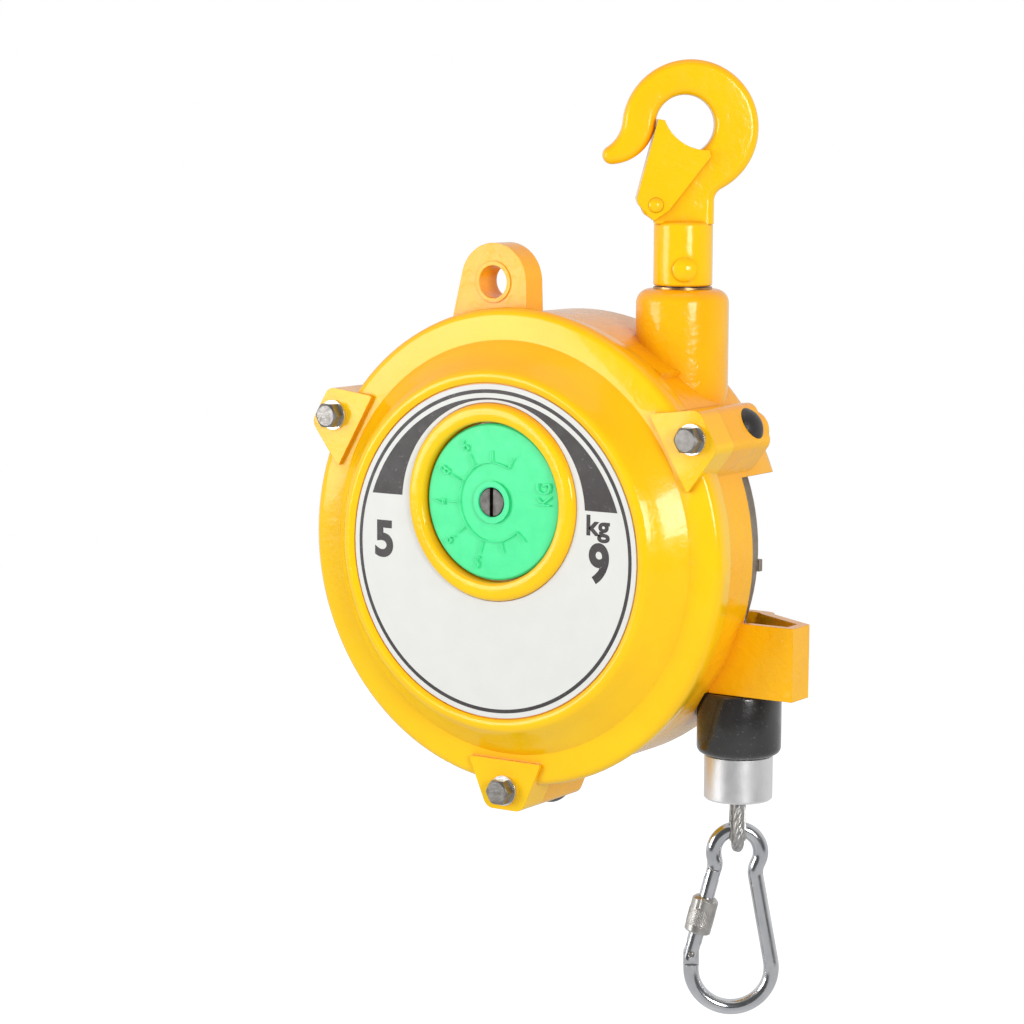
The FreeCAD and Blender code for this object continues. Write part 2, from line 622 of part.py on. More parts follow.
# ---------------------------------------------------------------- rear housing
def rear_housing():
    """Cast housing: drum shell, hook boss and saddle, safety eye, rope bracket, lugs, window."""
    body = new_body("rear_housing", HOUSING_AXIS, facing_front())
    spigot = d.cover_bore - d.spigot_gap
    drawing = sketch(body, "XZ", 0, "HousingProfile")
    rear_centre = (d.housing_radius - d.rear_round, -d.housing_depth + d.rear_round)
    outline(drawing, [
        (0, -d.parting_depth + d.spigot_length),
        (spigot, -d.parting_depth + d.spigot_length),
        (spigot, -d.parting_depth),
        (d.housing_radius, -d.parting_depth),
    ] + round_steps(rear_centre, d.rear_round, 0, -90, 4) + [
        (d.hub_radius + 3, -d.housing_depth),
        (d.hub_radius, -d.housing_depth - d.hub_height),
        (0, -d.housing_depth - d.hub_height),
    ])
    revolve(body, drawing)
    add_lugs(body, d.parting_depth, d.lug_rear)
    knuckle = sketch(body, "XY", -d.lug_rear - 4, "KnuckleSketch")
    x, y = polar(d.bolt_circle, d.lug_first)
    circle(knuckle, x, y, d.bolt_boss)
    round_pattern(body, [extrude(body, knuckle, 10)], 3)

    # flat saddle and round boss for the hook swivel
    saddle = sketch(body, "XY", -d.housing_depth + 1, "SaddleSketch")
    along = ((-d.saddle_start, 80), (d.saddle_run, 80), (d.saddle_run, d.saddle_reach),
             (-d.saddle_start, d.saddle_reach))
    outline(saddle, [
        (out * cosine(d.saddle_angle) + run * sine(d.saddle_angle),
         out * sine(d.saddle_angle) - run * cosine(d.saddle_angle)) for run, out in along])
    extrude(body, saddle, d.housing_depth - 1 - d.parting_depth)
    boss = sketch(body, "XZ", -d.boss_top, "BossSketch")
    circle(boss, d.hook_across, -d.hook_depth, d.boss_radius)
    extrude(body, boss, d.boss_top - 50)
    soften(body, lambda e: near(e.BoundBox.YMin, d.boss_top) and near(e.BoundBox.YMax, d.boss_top),
           d.boss_round)

    # safety eye
    eye = sketch(body, "XY", -d.eye_front, "EyeSketch")
    x, y = d.eye_across, d.eye_height
    left = polar(d.eye_outer, 169.5)
    top = polar(d.eye_outer, 90)
    right = polar(d.eye_outer, 3)
    outline(eye, [
        (x - 23.3, 84), (x + 17, 84), (x + 17, 94),
        (x + right[0], y + right[1]),
        (x + top[0], y + top[1], d.eye_outer, 1),
        (x + left[0], y + left[1], d.eye_outer, 1),
    ])
    extrude(body, eye, d.eye_thickness, down=True)
    rim = sketch(body, "XY", -d.eye_front + 0.5, "EyeRimSketch")
    circle(rim, x, y, d.eye_hole + 1.8)
    extrude(body, rim, d.eye_thickness + 1, down=True)

    # rope bracket, a box that is open at the top
    box = sketch(body, "XZ", -d.bracket_top, "BracketSketch")
    outline(box, [
        (80, -d.bracket_front), (80, -d.housing_depth + 0.6),
        (d.bracket_end - 32, -d.housing_depth + 0.6),
        (d.bracket_end, -d.bracket_end_back),
        (d.bracket_end, -d.bracket_front),
    ])
    extrude(body, box, d.bracket_top - d.bracket_bottom)

    # inside of the casting
    hollow = sketch(body, "XZ", 0, "CavityProfile")
    outline(hollow, [
        (0, -d.parting_depth + d.spigot_length + 1),
        (d.cavity_radius, -d.parting_depth + d.spigot_length + 1),
        (d.cavity_radius, -d.cavity_rear + 3),
        (d.cavity_radius - 3, -d.cavity_rear),
        (0, -d.cavity_rear),
    ])
    revolve(body, hollow, cut=True)
    trough = sketch(body, "XZ", -d.bracket_top - 8, "TroughSketch")
    wall = d.housing_wall
    outline(trough, [
        (70, -d.window_depth), (70, -d.cavity_rear),
        (d.bracket_end - 32 - wall * 0.6, -d.cavity_rear),
        (d.bracket_end - wall, -d.bracket_end_back + wall * 0.55),
        (d.bracket_end - wall, -d.window_depth),
    ])
    pocket(body, trough, d.bracket_top + 8 - d.bracket_bottom - d.bracket_floor, along=True)

    # window over the drum, above the bracket
    window = sketch(body, "XY", -d.window_depth, "WindowSketch")
    low = root(d.window_inner * d.window_inner - d.bracket_top * d.bracket_top)
    high = root(d.window_inner * d.window_inner - d.window_top * d.window_top)
    outline(window, [
        (low, d.bracket_top, d.window_inner, -1), (d.lug_reach, d.bracket_top),
        (d.lug_reach, d.window_top), (high, d.window_top),
    ])
    pocket(body, window, d.housing_depth)

    # bores: bolts, plugs, eye, swivel, rope guide and arbor bush
    drill_lugs(body, d.parting_depth - 1, d.lug_rear - 2, d.bolt_radius + d.seat_gap)
    plug = sketch(body, "XZ", d.lug_reach, "PlugHoleSketch")
    circle(plug, 0, -d.plug_depth, d.plug_stem + d.seat_gap)
    doc.recompute()
    round_pattern(body, [extrude(body, plug, d.plug_stem_length, cut=True)], 3)
    hole = sketch(body, "XY", 0, "EyeHoleSketch")
    circle(hole, d.eye_across, d.eye_height, d.eye_hole)
    pocket(body, hole, 60)
    swivel = sketch(body, "XZ", -d.boss_top - 1, "StemBoreSketch")
    circle(swivel, d.hook_across, -d.hook_depth, d.stem_radius + d.running_gap)
    pocket(body, swivel, 40, along=True)
    chamber = sketch(body, "XZ", -d.boss_top + d.boss_roof, "ThrustChamberSketch")
    circle(chamber, d.hook_across, -d.hook_depth, d.thrust_chamber)
    pocket(body, chamber, 40, along=True)
    recess = sketch(body, "XZ", -d.bracket_bottom, "BufferRecessSketch")
    circle(recess, d.rope_across, -d.hook_depth, d.buffer_radius + 0.9)
    pocket(body, recess, d.buffer_length, along=True)
    guide = sketch(body, "XZ", -d.bracket_bottom - 10, "GuideBoreSketch")
    circle(guide, d.rope_across, -d.hook_depth, 6)
    pocket(body, guide, 20, along=True)
    arbor = sketch(body, "XY", -d.cavity_rear + 1, "ArborBoreSketch")
    circle(arbor, 0, 0, d.bearing_bore + 3)
    pocket(body, arbor, 6)
    return body


def label_plate():
    body = new_body("label_plate", HOUSING_AXIS, facing_front())
    drawing = sketch(body, "XY", -d.label_thickness)
    circle(drawing, 0, 0, d.label_radius)
    circle(drawing, 0, d.dial_offset, d.bezel_outer + 0.2)
    extrude(body, drawing, d.label_thickness)
    return body


# ---------------------------------------------------------------- dial and gear train
DIAL_AXIS = (HOUSING_AXIS[0], HOUSING_AXIS[1], HOUSING_AXIS[2] + d.dial_offset)


def tension_dial():
    face = -d.dial_face_depth
    back = face - d.dial_thickness
    collar = d.dial_shaft_radius + 1.4
    return turned_piece("tension_dial", DIAL_AXIS, facing_front(), [
        (d.dial_shaft_radius + d.seat_gap, back),
        (d.dial_radius, back),
        (d.dial_radius, face - 0.8),
        (d.dial_radius - 0.8, face),
        (collar, face),
        (collar - 0.4, face + 0.9),
        (d.dial_shaft_radius + d.seat_gap, face + 0.9),
    ])


def dial_shaft():
    """Slotted shaft that carries the dial in front of the cover floor and the gear behind it."""
    front = d.side_gap
    seat = d.dial_floor - d.side_gap
    rear = d.gear_depth + d.gear_width + 0.6
    body = turned_piece("dial_shaft", DIAL_AXIS, facing_front(), [
        (0, front),
        (d.dial_shaft_radius - 0.5, front),
        (d.dial_shaft_radius, front - 0.5),
        (d.dial_shaft_radius, -seat),
        (d.dial_journal, -seat),
        (d.dial_journal, -d.gear_depth),
        (d.dial_journal - 1, -d.gear_depth),
        (d.dial_journal - 1, -rear),
        (0, -rear),
    ])
    slot = sketch(body, "XY", front + 1, "SlotSketch")
    half = d.slot_width / 2
    reach = d.dial_shaft_radius + 1
    outline(slot, [(-half, -reach), (half, -reach), (half, reach), (-half, reach)])
    pocket(body, slot, 3.2)
    return body


def gear(label, at, angle, teeth, module, width, front, bore):
    """Straight-toothed gear: one tooth on a disc, repeated round the axis, and a bore."""
    body = new_body(label, at, facing_front(angle))
    pitch = module * teeth / 2
    foot = pitch - 1.25 * module
    tip = pitch + module
    slope = math.tan(math.radians(20))
    half_pitch = (math.pi / 2 * module - d.backlash) / 2
    half_foot = half_pitch + 1.25 * slope * module
    half_tip = half_pitch - slope * module
    disc = sketch(body, "XY", -front - width, "DiscSketch")
    circle(disc, 0, 0, foot)
    extrude(body, disc, width)
    flank = sketch(body, "XY", -front - width, "ToothSketch")
    outline(flank, [(-half_foot, foot - 0.3 * module), (half_foot, foot - 0.3 * module),
                    (half_foot, foot), (half_tip, tip), (-half_tip, tip), (-half_foot, foot)])
    round_pattern(body, [extrude(body, flank, width)], teeth)
    hole = sketch(body, "XY", -front + 1, "BoreSketch")
    circle(hole, 0, 0, bore)
    pocket(body, hole, width + 2)
    return body


def gear_train():
    gear("dial_gear", DIAL_AXIS, 180, d.dial_teeth, d.gear_module, d.gear_width, d.gear_depth,
         d.dial_journal - 1 + d.seat_gap)
    gear("arbor_pinion", HOUSING_AXIS, 180 / float(d.pinion_teeth), d.pinion_teeth, d.gear_module,
         d.gear_width, d.gear_depth, 3.4 + d.seat_gap)
    gear("worm_wheel", HOUSING_AXIS, 90 + 180 / float(d.wheel_teeth), d.wheel_teeth,
         d.worm_module, d.wheel_width, d.wheel_depth - d.wheel_width / 2,
         d.bearing_bore + d.seat_gap)


WORM_AXIS = (HOUSING_AXIS[0] - d.worm_across, HOUSING_AXIS[1] + d.wheel_depth, HOUSING_AXIS[2])


def worm_shaft():
    """Upright worm whose socketed foot is reached through the cover's lower wall."""
    lead = math.pi * d.worm_module
    foot = d.worm_pitch_radius - 1.25 * d.worm_module
    body = turned_piece("worm_shaft", WORM_AXIS, None, [
        (0, 20), (4.4, 20), (4.4, 13), (foot, 12.4), (foot, -12.4), (4.4, -13),
        (4.4, -88), (3.6, -88.8), (0, -88.8)])
    thread = sketch(body, "XZ", 0, "ThreadSketch")
    tip = d.worm_pitch_radius + 0.85 * d.worm_module
    low = -2 * lead
    outline(thread, [(foot - 0.5, low - 1.25), (tip, low - 0.45),
                     (tip, low + 0.45), (foot - 0.5, low + 1.25)])
    helix = body.newObject("PartDesign::AdditiveHelix", "Thread")
    helix.Profile = (thread, [""])
    axis = [item for item in body.Origin.OriginFeatures if item.Role == "Z_Axis"][0]
    helix.ReferenceAxis = (axis, [""])
    helix.Mode = "pitch-height-angle"
    helix.Pitch = float(lead)
    bind(helix, "Pitch", lead)
    helix.Height = float(4 * lead)
    bind(helix, "Height", 4 * lead)
    helix.Angle = 0
    socket = sketch(body, "XY", -92, "SocketSketch")
    hexagon(socket, 0, 0, as_size(5))
    pocket(body, socket, 8, along=True)
    return body


# ---------------------------------------------------------------- arbor, drum and spring
def front_bearing_place():
    """Front and rear face of the bearing in the spring cover."""
    front = d.wheel_depth + d.wheel_width / 2 + 1.8
    return front, front + d.bearing_width


def rear_bearing_place():
    """Front and rear face of the bearing in the drum's web."""
    rear = d.flange_rear + 1.5
    return rear - d.bearing_width, rear


def arbor():
    """Stepped shaft through the middle: pinion stub, wheel seat, bearings and spring collar."""
    _, collar_front = front_bearing_place()
    collar_rear, _ = rear_bearing_place()
    stub = d.gear_depth + d.gear_width + 0.4
    return turned_piece("arbor", HOUSING_AXIS, facing_front(), [
        (0, -d.dial_floor - 1.4),
        (3.4, -d.dial_floor - 1.4),
        (3.4, -stub),
        (d.bearing_bore, -stub),
        (d.bearing_bore, -collar_front),
        (d.arbor_collar, -collar_front - 0.5),
        (d.arbor_collar, -collar_rear + 0.5),
        (d.bearing_bore, -collar_rear),
        (d.bearing_bore, -d.housing_depth),
        (0, -d.housing_depth),
    ])


def arbor_bush():
    """Bronze bush in the housing's rear wall."""
    front = d.cavity_rear - 0.8
    return turned_piece("arbor_bush", HOUSING_AXIS, facing_front(), [
        (d.bearing_bore + d.running_gap, -front),
        (d.bearing_bore + 3 - d.seat_gap, -front),
        (d.bearing_bore + 3 - d.seat_gap, -d.housing_depth - 0.3),
        (d.bearing_bore + d.running_gap, -d.housing_depth - 0.3),
    ])


def groove_radius(k):
    """Rope centre radius in groove k, counted from the rear."""
    return d.rope_at_rest + k * d.drum_taper


def groove_depth(k):
    return d.hook_depth - k * d.rope_pitch


def rope_drum():
    """Cast drum: tapered rope grooves, smooth rear flange, web, hub and spring chamber."""
    body = new_body("rope_drum", HOUSING_AXIS, facing_front())
    seat = d.rope_radius + 0.1
    bore = d.bearing_outer + d.seat_gap
    bearing_front, bearing_rear = rear_bearing_place()
    web_front = bearing_front - 2
    wraps = int(d.rope_wraps.value)
    last = wraps - 1
    profile = [
        (bore, -bearing_rear), (d.drum_hub, -bearing_rear),
        (d.drum_hub, -web_front - d.drum_web),
        (d.spring_radius - 8, -web_front - d.drum_web),
        (d.spring_radius - 4, -d.flange_rear),
        (d.flange_radius, -d.flange_rear),
        (d.flange_radius, -groove_depth(0) - seat - 0.4),
    ]
    for k in range(wraps):
        radius, depth = groove_radius(k), groove_depth(k)
        profile += [(radius, -depth - seat),
                    (radius - seat, -depth - seat * d.groove_floor),
                    (radius - seat, -depth + seat * d.groove_floor),
                    (radius, -depth + seat)]
    rim = groove_radius(last) + 1.8
    profile += [
        (rim, -groove_depth(last) + seat), (rim, -d.drum_front),
        (d.lid_seat, -d.drum_front), (d.lid_seat, -d.drum_front - d.lid_sheet),
        (d.spring_radius, -d.drum_front - d.lid_sheet), (d.spring_radius, -web_front),
        (d.arbor_collar + 1.5, -web_front), (d.arbor_collar + 1.5, -bearing_front),
        (bore, -bearing_front),
    ]
    drawing = sketch(body, "XZ", 0, "DrumProfile")
    outline(drawing, profile)
    revolve(body, drawing)
    lid_screw_holes(body, d.screw_shank + d.seat_gap, d.drum_front, d.screw_reach)
    lug = sketch(body, "XY", -d.flange_rear - 2.5, "StopLugSketch")
    outline(lug, [(d.flange_radius - 8, -9), (d.flange_radius + 0.7, -9),
                  (d.flange_radius + 0.7, -4), (d.flange_radius - 8, -4)])
    extrude(body, lug, 2.5)
    return body


def lid_screw_place(k):
    return polar(d.lid_screw_circle, 60 * k + 15)


def lid_screw_holes(body, radius, front, depth):
    drawing = sketch(body, "XY", -front, "ScrewHoleSketch")
    for k in range(6):
        circle(drawing, *lid_screw_place(k), radius)
    pocket(body, drawing, depth)


def spring_cover():
    """Plate that closes the spring chamber and holds the front bearing."""
    front, rear = front_bearing_place()
    bore = d.bearing_outer + d.seat_gap
    edge = d.lid_seat - d.seat_gap
    body = turned_piece("spring_cover", HOUSING_AXIS, facing_front(), [
        (bore, -front), (d.drum_hub - 1, -front), (d.drum_hub - 1, -d.drum_front),
        (edge, -d.drum_front), (edge, -d.drum_front - d.lid_sheet),
        (d.drum_hub - 1, -d.drum_front - d.lid_sheet),
        (d.drum_hub - 1, -rear - 1.5), (d.arbor_collar + 1.5, -rear - 1.5),
        (d.arbor_collar + 1.5, -rear), (bore, -rear),
    ])
    lid_screw_holes(body, d.screw_head + d.seat_gap, d.drum_front, d.screw_sink)
    lid_screw_holes(body, d.screw_shank + d.seat_gap, d.drum_front, d.lid_sheet + 1)
    return body


def drum_bearing(label, place_of):
    """Shielded ball bearing."""
    front, rear = place_of
    front = front + d.seat_gap
    rear = rear - d.seat_gap
    inner = d.bearing_bore + d.running_gap
    wide = d.bearing_bore + 2.6
    narrow = d.bearing_outer - 2.6
    return turned_piece(label, HOUSING_AXIS, facing_front(), [
        (inner, -front), (wide, -front), (wide, -front - 0.7), (narrow, -front - 0.7),
        (narrow, -front), (d.bearing_outer, -front), (d.bearing_outer, -rear), (narrow, -rear),
        (narrow, -rear + 0.7), (wide, -rear + 0.7), (wide, -rear), (inner, -rear),
    ])


def mainspring():
    """Flat spiral of half turns, from the arbor's collar out to the wall of the chamber."""
    strip = float(d.spring_strip)
    halves = int(2 * float(d.spring_turns))
    inner = float(d.arbor_collar) + 0.3
    outer = float(d.spring_radius) - strip - 0.05
    step = (outer - inner) / halves
    z = Vector(0, 0, 1)

    _, front = front_bearing_place()
    rear, _ = rear_bearing_place()
    top = float(front) + 2
    width = float(rear) - 3 - top

    def chain(extra):
        edges = []
        for k in range(halves):
            radius = inner + step * k
            centre = Vector(step * (k % 2), 0, -top)
            ring = Part.Circle(centre, z, radius + extra)
            start = math.pi * (k % 2)
            edges.append(Part.ArcOfCircle(ring, start, start + math.pi).toShape())
        return edges

    near_side, far_side = chain(0), chain(strip)
    ends = []
    for k, edge_end in ((0, 0), (-1, 1)):
        one = near_side[k].valueAt(near_side[k].ParameterRange[edge_end])
        two = far_side[k].valueAt(far_side[k].ParameterRange[edge_end])
        ends.append(Part.makeLine(one, two))
    wire = Part.Wire(Part.__sortEdges__(near_side + far_side + ends))
    spring = doc.addObject("Part::Feature", "mainspring")
    spring.Label = "mainspring"
    spring.Shape = Part.Face(wire).extrude(Vector(0, 0, -width))
    place(spring, HOUSING_AXIS, facing_front())
    subparts.append(spring)
    return spring


def new_ring(name, radius, depth, opening=0):
    """A ring of rope round the housing axis, with a six-sided section, open from the right down."""
    ring = doc.addObject("PartDesign::Body", name)
    drawing = sketch(ring, "XZ", 0, name + "Section")
    outline(drawing, [(radius + d.rope_radius * cosine(60 * k), -depth + d.rope_radius * sine(60 * k))
                      for k in range(6)])
    revolve(ring, drawing, opening=opening)
    return ring


def wound_rope():
    """Rope in the drum's grooves, one six-sided ring per wrap, the rear one open for the run."""
    rings = []
    for k in range(int(d.rope_wraps.value)):
        opening = d.wrap_opening if k == 0 else 0
        ring = new_ring("RopeWrap%d" % k, groove_radius(k), groove_depth(k), opening)
        rings.append(ring)
    group = doc.addObject("Part::Compound", "wound_rope")
    group.Label = "wound_rope"
    group.Links = rings
    place(group, HOUSING_AXIS, facing_front())
    subparts.append(group)
    return group


# ---------------------------------------------------------------- rope, guide and rope end
def guide_bush():
    floor = d.bracket_bottom + d.bracket_floor
    bore = d.rope_radius + d.running_gap
    return turned_piece("rope_guide_bush", ROPE_AXIS, None, [
        (bore, d.bracket_bottom), (6 - d.seat_gap, d.bracket_bottom),
        (6 - d.seat_gap, floor + d.seat_gap), (9, floor + d.seat_gap), (9, floor + 1),
        (8, floor + 2), (bore + 1.5, floor + 2), (bore, floor + 0.5),
    ])


def rope_run():
    """Straight rope from the drum down to the rubber buffer."""
    return turned_piece("rope_run", ROPE_AXIS, None, [
        (0, d.buffer_top), (d.rope_radius, d.buffer_top), (d.rope_radius, 0), (0, 0)])


def rubber_buffer():
    bore = d.rope_radius + d.seat_gap
    low, high = as_size(3), as_size(1.5)
    low_centre = (d.buffer_radius - low, d.buffer_foot + low)
    high_centre = (d.buffer_radius - high, d.buffer_top - high)
    return turned_piece("rubber_buffer", ROPE_AXIS, None,
                        [(bore, d.buffer_foot)] + round_steps(low_centre, low, -90, 0, 4)
                        + round_steps(high_centre, high, 0, 90) + [(bore, d.buffer_top)])


def rope_sleeve():
    """Aluminium sleeve pressed on the rope, open below for the two legs of the rope loop."""
    bore = d.rope_radius + d.seat_gap
    mouth = 2 * d.rope_radius + 0.2 + d.seat_gap
    roof = d.sleeve_foot + d.mouth_depth
    edge = 0.8
    return turned_piece("rope_sleeve", ROPE_AXIS, None, [
        (d.sleeve_radius - edge, d.sleeve_foot),
        (d.sleeve_radius, d.sleeve_foot + edge), (d.sleeve_radius, d.buffer_foot - edge),
        (d.sleeve_radius - edge, d.buffer_foot), (bore, d.buffer_foot),
        (bore, roof), (mouth, roof), (mouth, d.sleeve_foot + 4), (mouth + 2.5, d.sleeve_foot)])


def rope_tail():
    """Rope through the buffer and the sleeve."""
    return turned_piece("rope_tail", ROPE_AXIS, None, [
        (0, d.sleeve_foot + d.mouth_depth), (d.rope_radius, d.sleeve_foot + d.mouth_depth),
        (d.rope_radius, d.buffer_top), (0, d.buffer_top)])


LOOP_LEAN = 16.5


def loop_path(radius, top, apart=None):
    """Half of the path round the loop, from its lowest point up one leg to the height top."""
    across, up = polar(radius, LOOP_LEAN)
    base = d.loop_centre
    if apart is None:
        side = across - (top - base - up) * sine(LOOP_LEAN) / cosine(LOOP_LEAN)
        return [(base - radius, as_size(0)), (base + up, across, radius, -1), (top, side)]
    bend = 4 * d.rope_radius
    run = (across - apart - bend * (1 - cosine(LOOP_LEAN))) / sine(LOOP_LEAN)
    high = base + up + run * cosine(LOOP_LEAN)
    return [
        (base - radius, as_size(0)),
        (base + up, across, radius, -1),
        (high, across - run * sine(LOOP_LEAN)),
        (high + bend * sine(LOOP_LEAN), apart, bend, 1),
        (top, apart),
    ]


def wire_along(body, plane, points, start, radius):
    """Sweep a round wire along a flat open path that starts upright at the point start."""
    section = sketch(body, "XZ", -start[1], "WireSection")
    circle(section, start[0], start[2], radius)
    path = sketch(body, plane, 0, "WirePath")
    outline(path, points, closed=False)
    result = body.newObject("PartDesign::AdditivePipe", "Wire")
    result.Profile = (section, [""])
    result.Spine = (path, [""])
    return result


def rope_loop():
    """Rope eye below the sleeve: two legs and the bend round the thimble."""
    body = new_body("rope_loop", ROPE_AXIS, facing_turned())
    top = d.sleeve_foot + d.mouth_depth
    foot, bend, straight, upright, end = loop_path(d.loop_radius, top, d.rope_radius + 0.2)
    wire_along(body, "YZ", [
        (end[0], -end[1]), (upright[0], -upright[1]),
        (straight[0], -straight[1], upright[2], 1), (bend[0], -bend[1]),
        (foot[0], foot[1], d.loop_radius, -1), bend, straight, upright,
        end,
    ], (as_size(0), top, -end[1]), d.rope_radius)
    return body


def thimble():
    """Sheet thimble inside the rope loop."""
    body = new_body("rope_thimble", ROPE_AXIS, facing_turned())
    drawing = sketch(body, "YZ", 0, "ThimbleSketch")
    outer = d.loop_radius - d.rope_radius - d.seat_gap
    top = d.loop_centre + 11.5
    outside = loop_path(outer, top)
    inside = loop_path(outer - d.thimble_sheet, top)
    foot, bend, end = outside
    in_foot, in_bend, in_end = inside
    outline(drawing, [
        (end[0], -end[1]), (bend[0], -bend[1]), (foot[0], foot[1], outer, -1), bend, end,
        in_end, (in_bend[0], in_bend[1]), (in_foot[0], in_foot[1], in_bend[2], 1),
        (in_bend[0], -in_bend[1], in_bend[2], 1), (in_end[0], -in_end[1]),
    ])
    extrude(body, drawing, d.thimble_width, both=True)
    return body


# ---------------------------------------------------------------- top hook and swivel
TOP_FLAT = as_size(0.4)  # radius of the small flat on a domed pin end


def polar_from(centre, radius, angle):
    across, up = polar(radius, angle)
    return centre[0] + across, centre[1] + up


def between(one, two, run):
    """The point that lies a run away from one, towards two."""
    across, up = two[0] - one[0], two[1] - one[1]
    length = root(across * across + up * up)
    return one[0] + across * run / length, one[1] + up * run / length


def meeting_point(one, reach_one, two, reach_two, side):
    """Where two circles cross; side +1 takes the crossing to the left from one to two."""
    across, up = two[0] - one[0], two[1] - one[1]
    square = across * across + up * up
    length = root(square)
    along = (square + reach_one * reach_one - reach_two * reach_two) / (2 * length)
    off = root(reach_one * reach_one - along * along) * side
    return (one[0] + (across * along - up * off) / length,
            one[1] + (up * along + across * off) / length)


def arctan(up, along):
    return Size(math.degrees(math.atan2(float(up), float(along))),
                "(atan2(%s; %s) / 1 deg)" % (as_size(up).text, as_size(along).text))


def tangent_run(one, radius_one, two, radius_two):
    """Straight run tangent to two circles: its two ends and its direction.

    A radius is positive where the circle's centre lies to the left of the run.
    """
    across, up = two[0] - one[0], two[1] - one[1]
    step = radius_two - radius_one
    length = root(across * across + up * up - step * step)
    angle = arctan(up, across) - arctan(step, length)
    left = (-sine(angle), cosine(angle))
    ends = [(c[0] - r * left[0], c[1] - r * left[1])
            for c, r in ((one, as_size(radius_one)), (two, as_size(radius_two)))]
    return ends[0], ends[1], angle


def arc_through(centre, radius, angles, turn):
    """Points round a circle as the ends of arcs; the first one is a plain point."""
    points = [polar_from(centre, radius, angle) for angle in angles]
    return points[:1] + [point + (radius, turn) for point in points[1:]]


def top_hook():
    """Forged hook: neck, back, rounded tip and bowl, with a round socket for the swivel stem."""
    body = new_body("top_hook", (0, 0, 0), facing_turned())
    neck = d.socket_radius
    bowl = (as_size(0), -d.bowl_radius)
    back = (d.hook_shift, -d.bowl_radius - 1.4)
    pivot = (d.pivot_across, -d.pivot_drop)
    tip = (-d.hook_outer - 2.1, -d.bowl_radius - 12.7)
    tip_round, flare, inside = as_size(3.8), as_size(14), as_size(19)

    # each arc starts where its circle touches the circle before it
    foot_angle = -62
    neck_arc = (d.hook_shift + d.hook_outer * cosine(foot_angle) - neck) \
        / (1 - cosine(foot_angle))
    neck_centre = between(back, polar_from(back, 1, foot_angle), d.hook_outer + neck_arc)
    flare_centre = meeting_point(back, d.hook_outer + flare, tip, tip_round + flare, -1)
    inside_centre = meeting_point(bowl, d.bowl_radius + inside, tip, inside - tip_round, -1)
    throat = as_size(4)
    throat_centre = polar_from(bowl, d.bowl_radius + throat, -80)
    flank_top, flank_foot, _ = tangent_run(throat_centre, throat, pivot, d.pivot_boss)
    points = [
        (neck, -d.socket_top - 1),
        (neck, neck_centre[1]),
        polar_from(back, d.hook_outer, foot_angle) + (neck_arc, -1),
        polar_from(back, d.hook_outer, 58) + (d.hook_outer, 1),
        between(back, flare_centre, d.hook_outer) + (d.hook_outer, 1),
        between(tip, flare_centre, tip_round) + (flare, -1),
        polar_from(tip, tip_round, 225) + (tip_round, 1),
        between(inside_centre, tip, inside) + (tip_round, 1),
        between(bowl, inside_centre, d.bowl_radius) + (inside, 1),
        polar_from(bowl, d.bowl_radius, 90) + (d.bowl_radius, -1),
        polar_from(bowl, d.bowl_radius, 0) + (d.bowl_radius, -1),
        polar_from(bowl, d.bowl_radius, -80) + (d.bowl_radius, -1),
        flank_top + (throat, 1),
        flank_foot,
        polar_from(pivot, d.pivot_boss, 225) + (d.pivot_boss, 1),
        (-neck, -d.socket_top),
        (-neck, -d.socket_top - 1),
    ]
    drawing = sketch(body, "XY", 0, "HookSketch")
    outline(drawing, points)
    extrude(body, drawing, d.hook_thickness, both=True)
    half = d.hook_thickness / 2
    soften(body, lambda e: near(abs(e.BoundBox.ZMin), half) and near(e.BoundBox.ZLength, 0)
           and e.BoundBox.YMax > -float(d.socket_top) + 3, d.hook_edge)
    socket = sketch(body, "XY", 0, "SocketSketch")
    outline(socket, [
        (0, -d.socket_bottom), (neck - 1, -d.socket_bottom), (neck, -d.socket_bottom + 1, 1.0, 1),
        (neck, -d.socket_top - 2), (neck - 2, -d.socket_top, 2.0, 1), (0, -d.socket_top)])
    revolve(body, socket)

    bore = sketch(body, "XZ", d.socket_bottom + 1, "StemBoreSketch")
    circle(bore, 0, 0, d.stem_radius + d.seat_gap)
    pocket(body, bore, d.socket_bottom - d.socket_top - 5)
    cross = sketch(body, "XY", 0, "CrossPinSketch")
    circle(cross, 0, -d.cross_pin_drop, d.cross_pin_radius + d.seat_gap)
    pocket(body, cross, 2 * neck + 4, both=True)
    ear = sketch(body, "XY", 0, "LatchPinSketch")
    circle(ear, pivot[0], pivot[1], d.latch_pin_radius + d.seat_gap)
    pocket(body, ear, d.hook_thickness + 2, both=True)
    slot = sketch(body, "XY", 0, "SpringSlotSketch")
    circle(slot, pivot[0], pivot[1], d.pivot_boss + 1)
    pocket(body, slot, d.latch_slot, both=True)
    return body


def swivel_stem():
    """Stem pinned in the hook's socket; its foot is stepped down for the nut."""
    nut_top, nut_foot = swivel_nut_heights()
    turn = Rotation(Vector(0, 0, 1), float(d.hook_turn))
    body = turned_piece("swivel_stem", (0, 0, 0), turn, [
        (0, nut_foot), (d.nut_seat, nut_foot), (d.nut_seat, nut_top), (d.stem_radius, nut_top),
        (d.stem_radius, -d.socket_top - 7), (d.stem_radius - 1, -d.socket_top - 6),
        (0, -d.socket_top - 6)])
    cross = sketch(body, "XZ", 0, "CrossPinSketch")
    circle(cross, 0, -d.cross_pin_drop, d.cross_pin_radius + d.seat_gap)
    pocket(body, cross, 2 * d.stem_radius + 4, both=True)
    return body


def boss_top_height():
    return d.boss_top - d.seat_height


def swivel_nut_heights():
    top = boss_top_height() - d.boss_roof - d.thrust_bearing - d.running_gap
    return top, top - d.nut_height


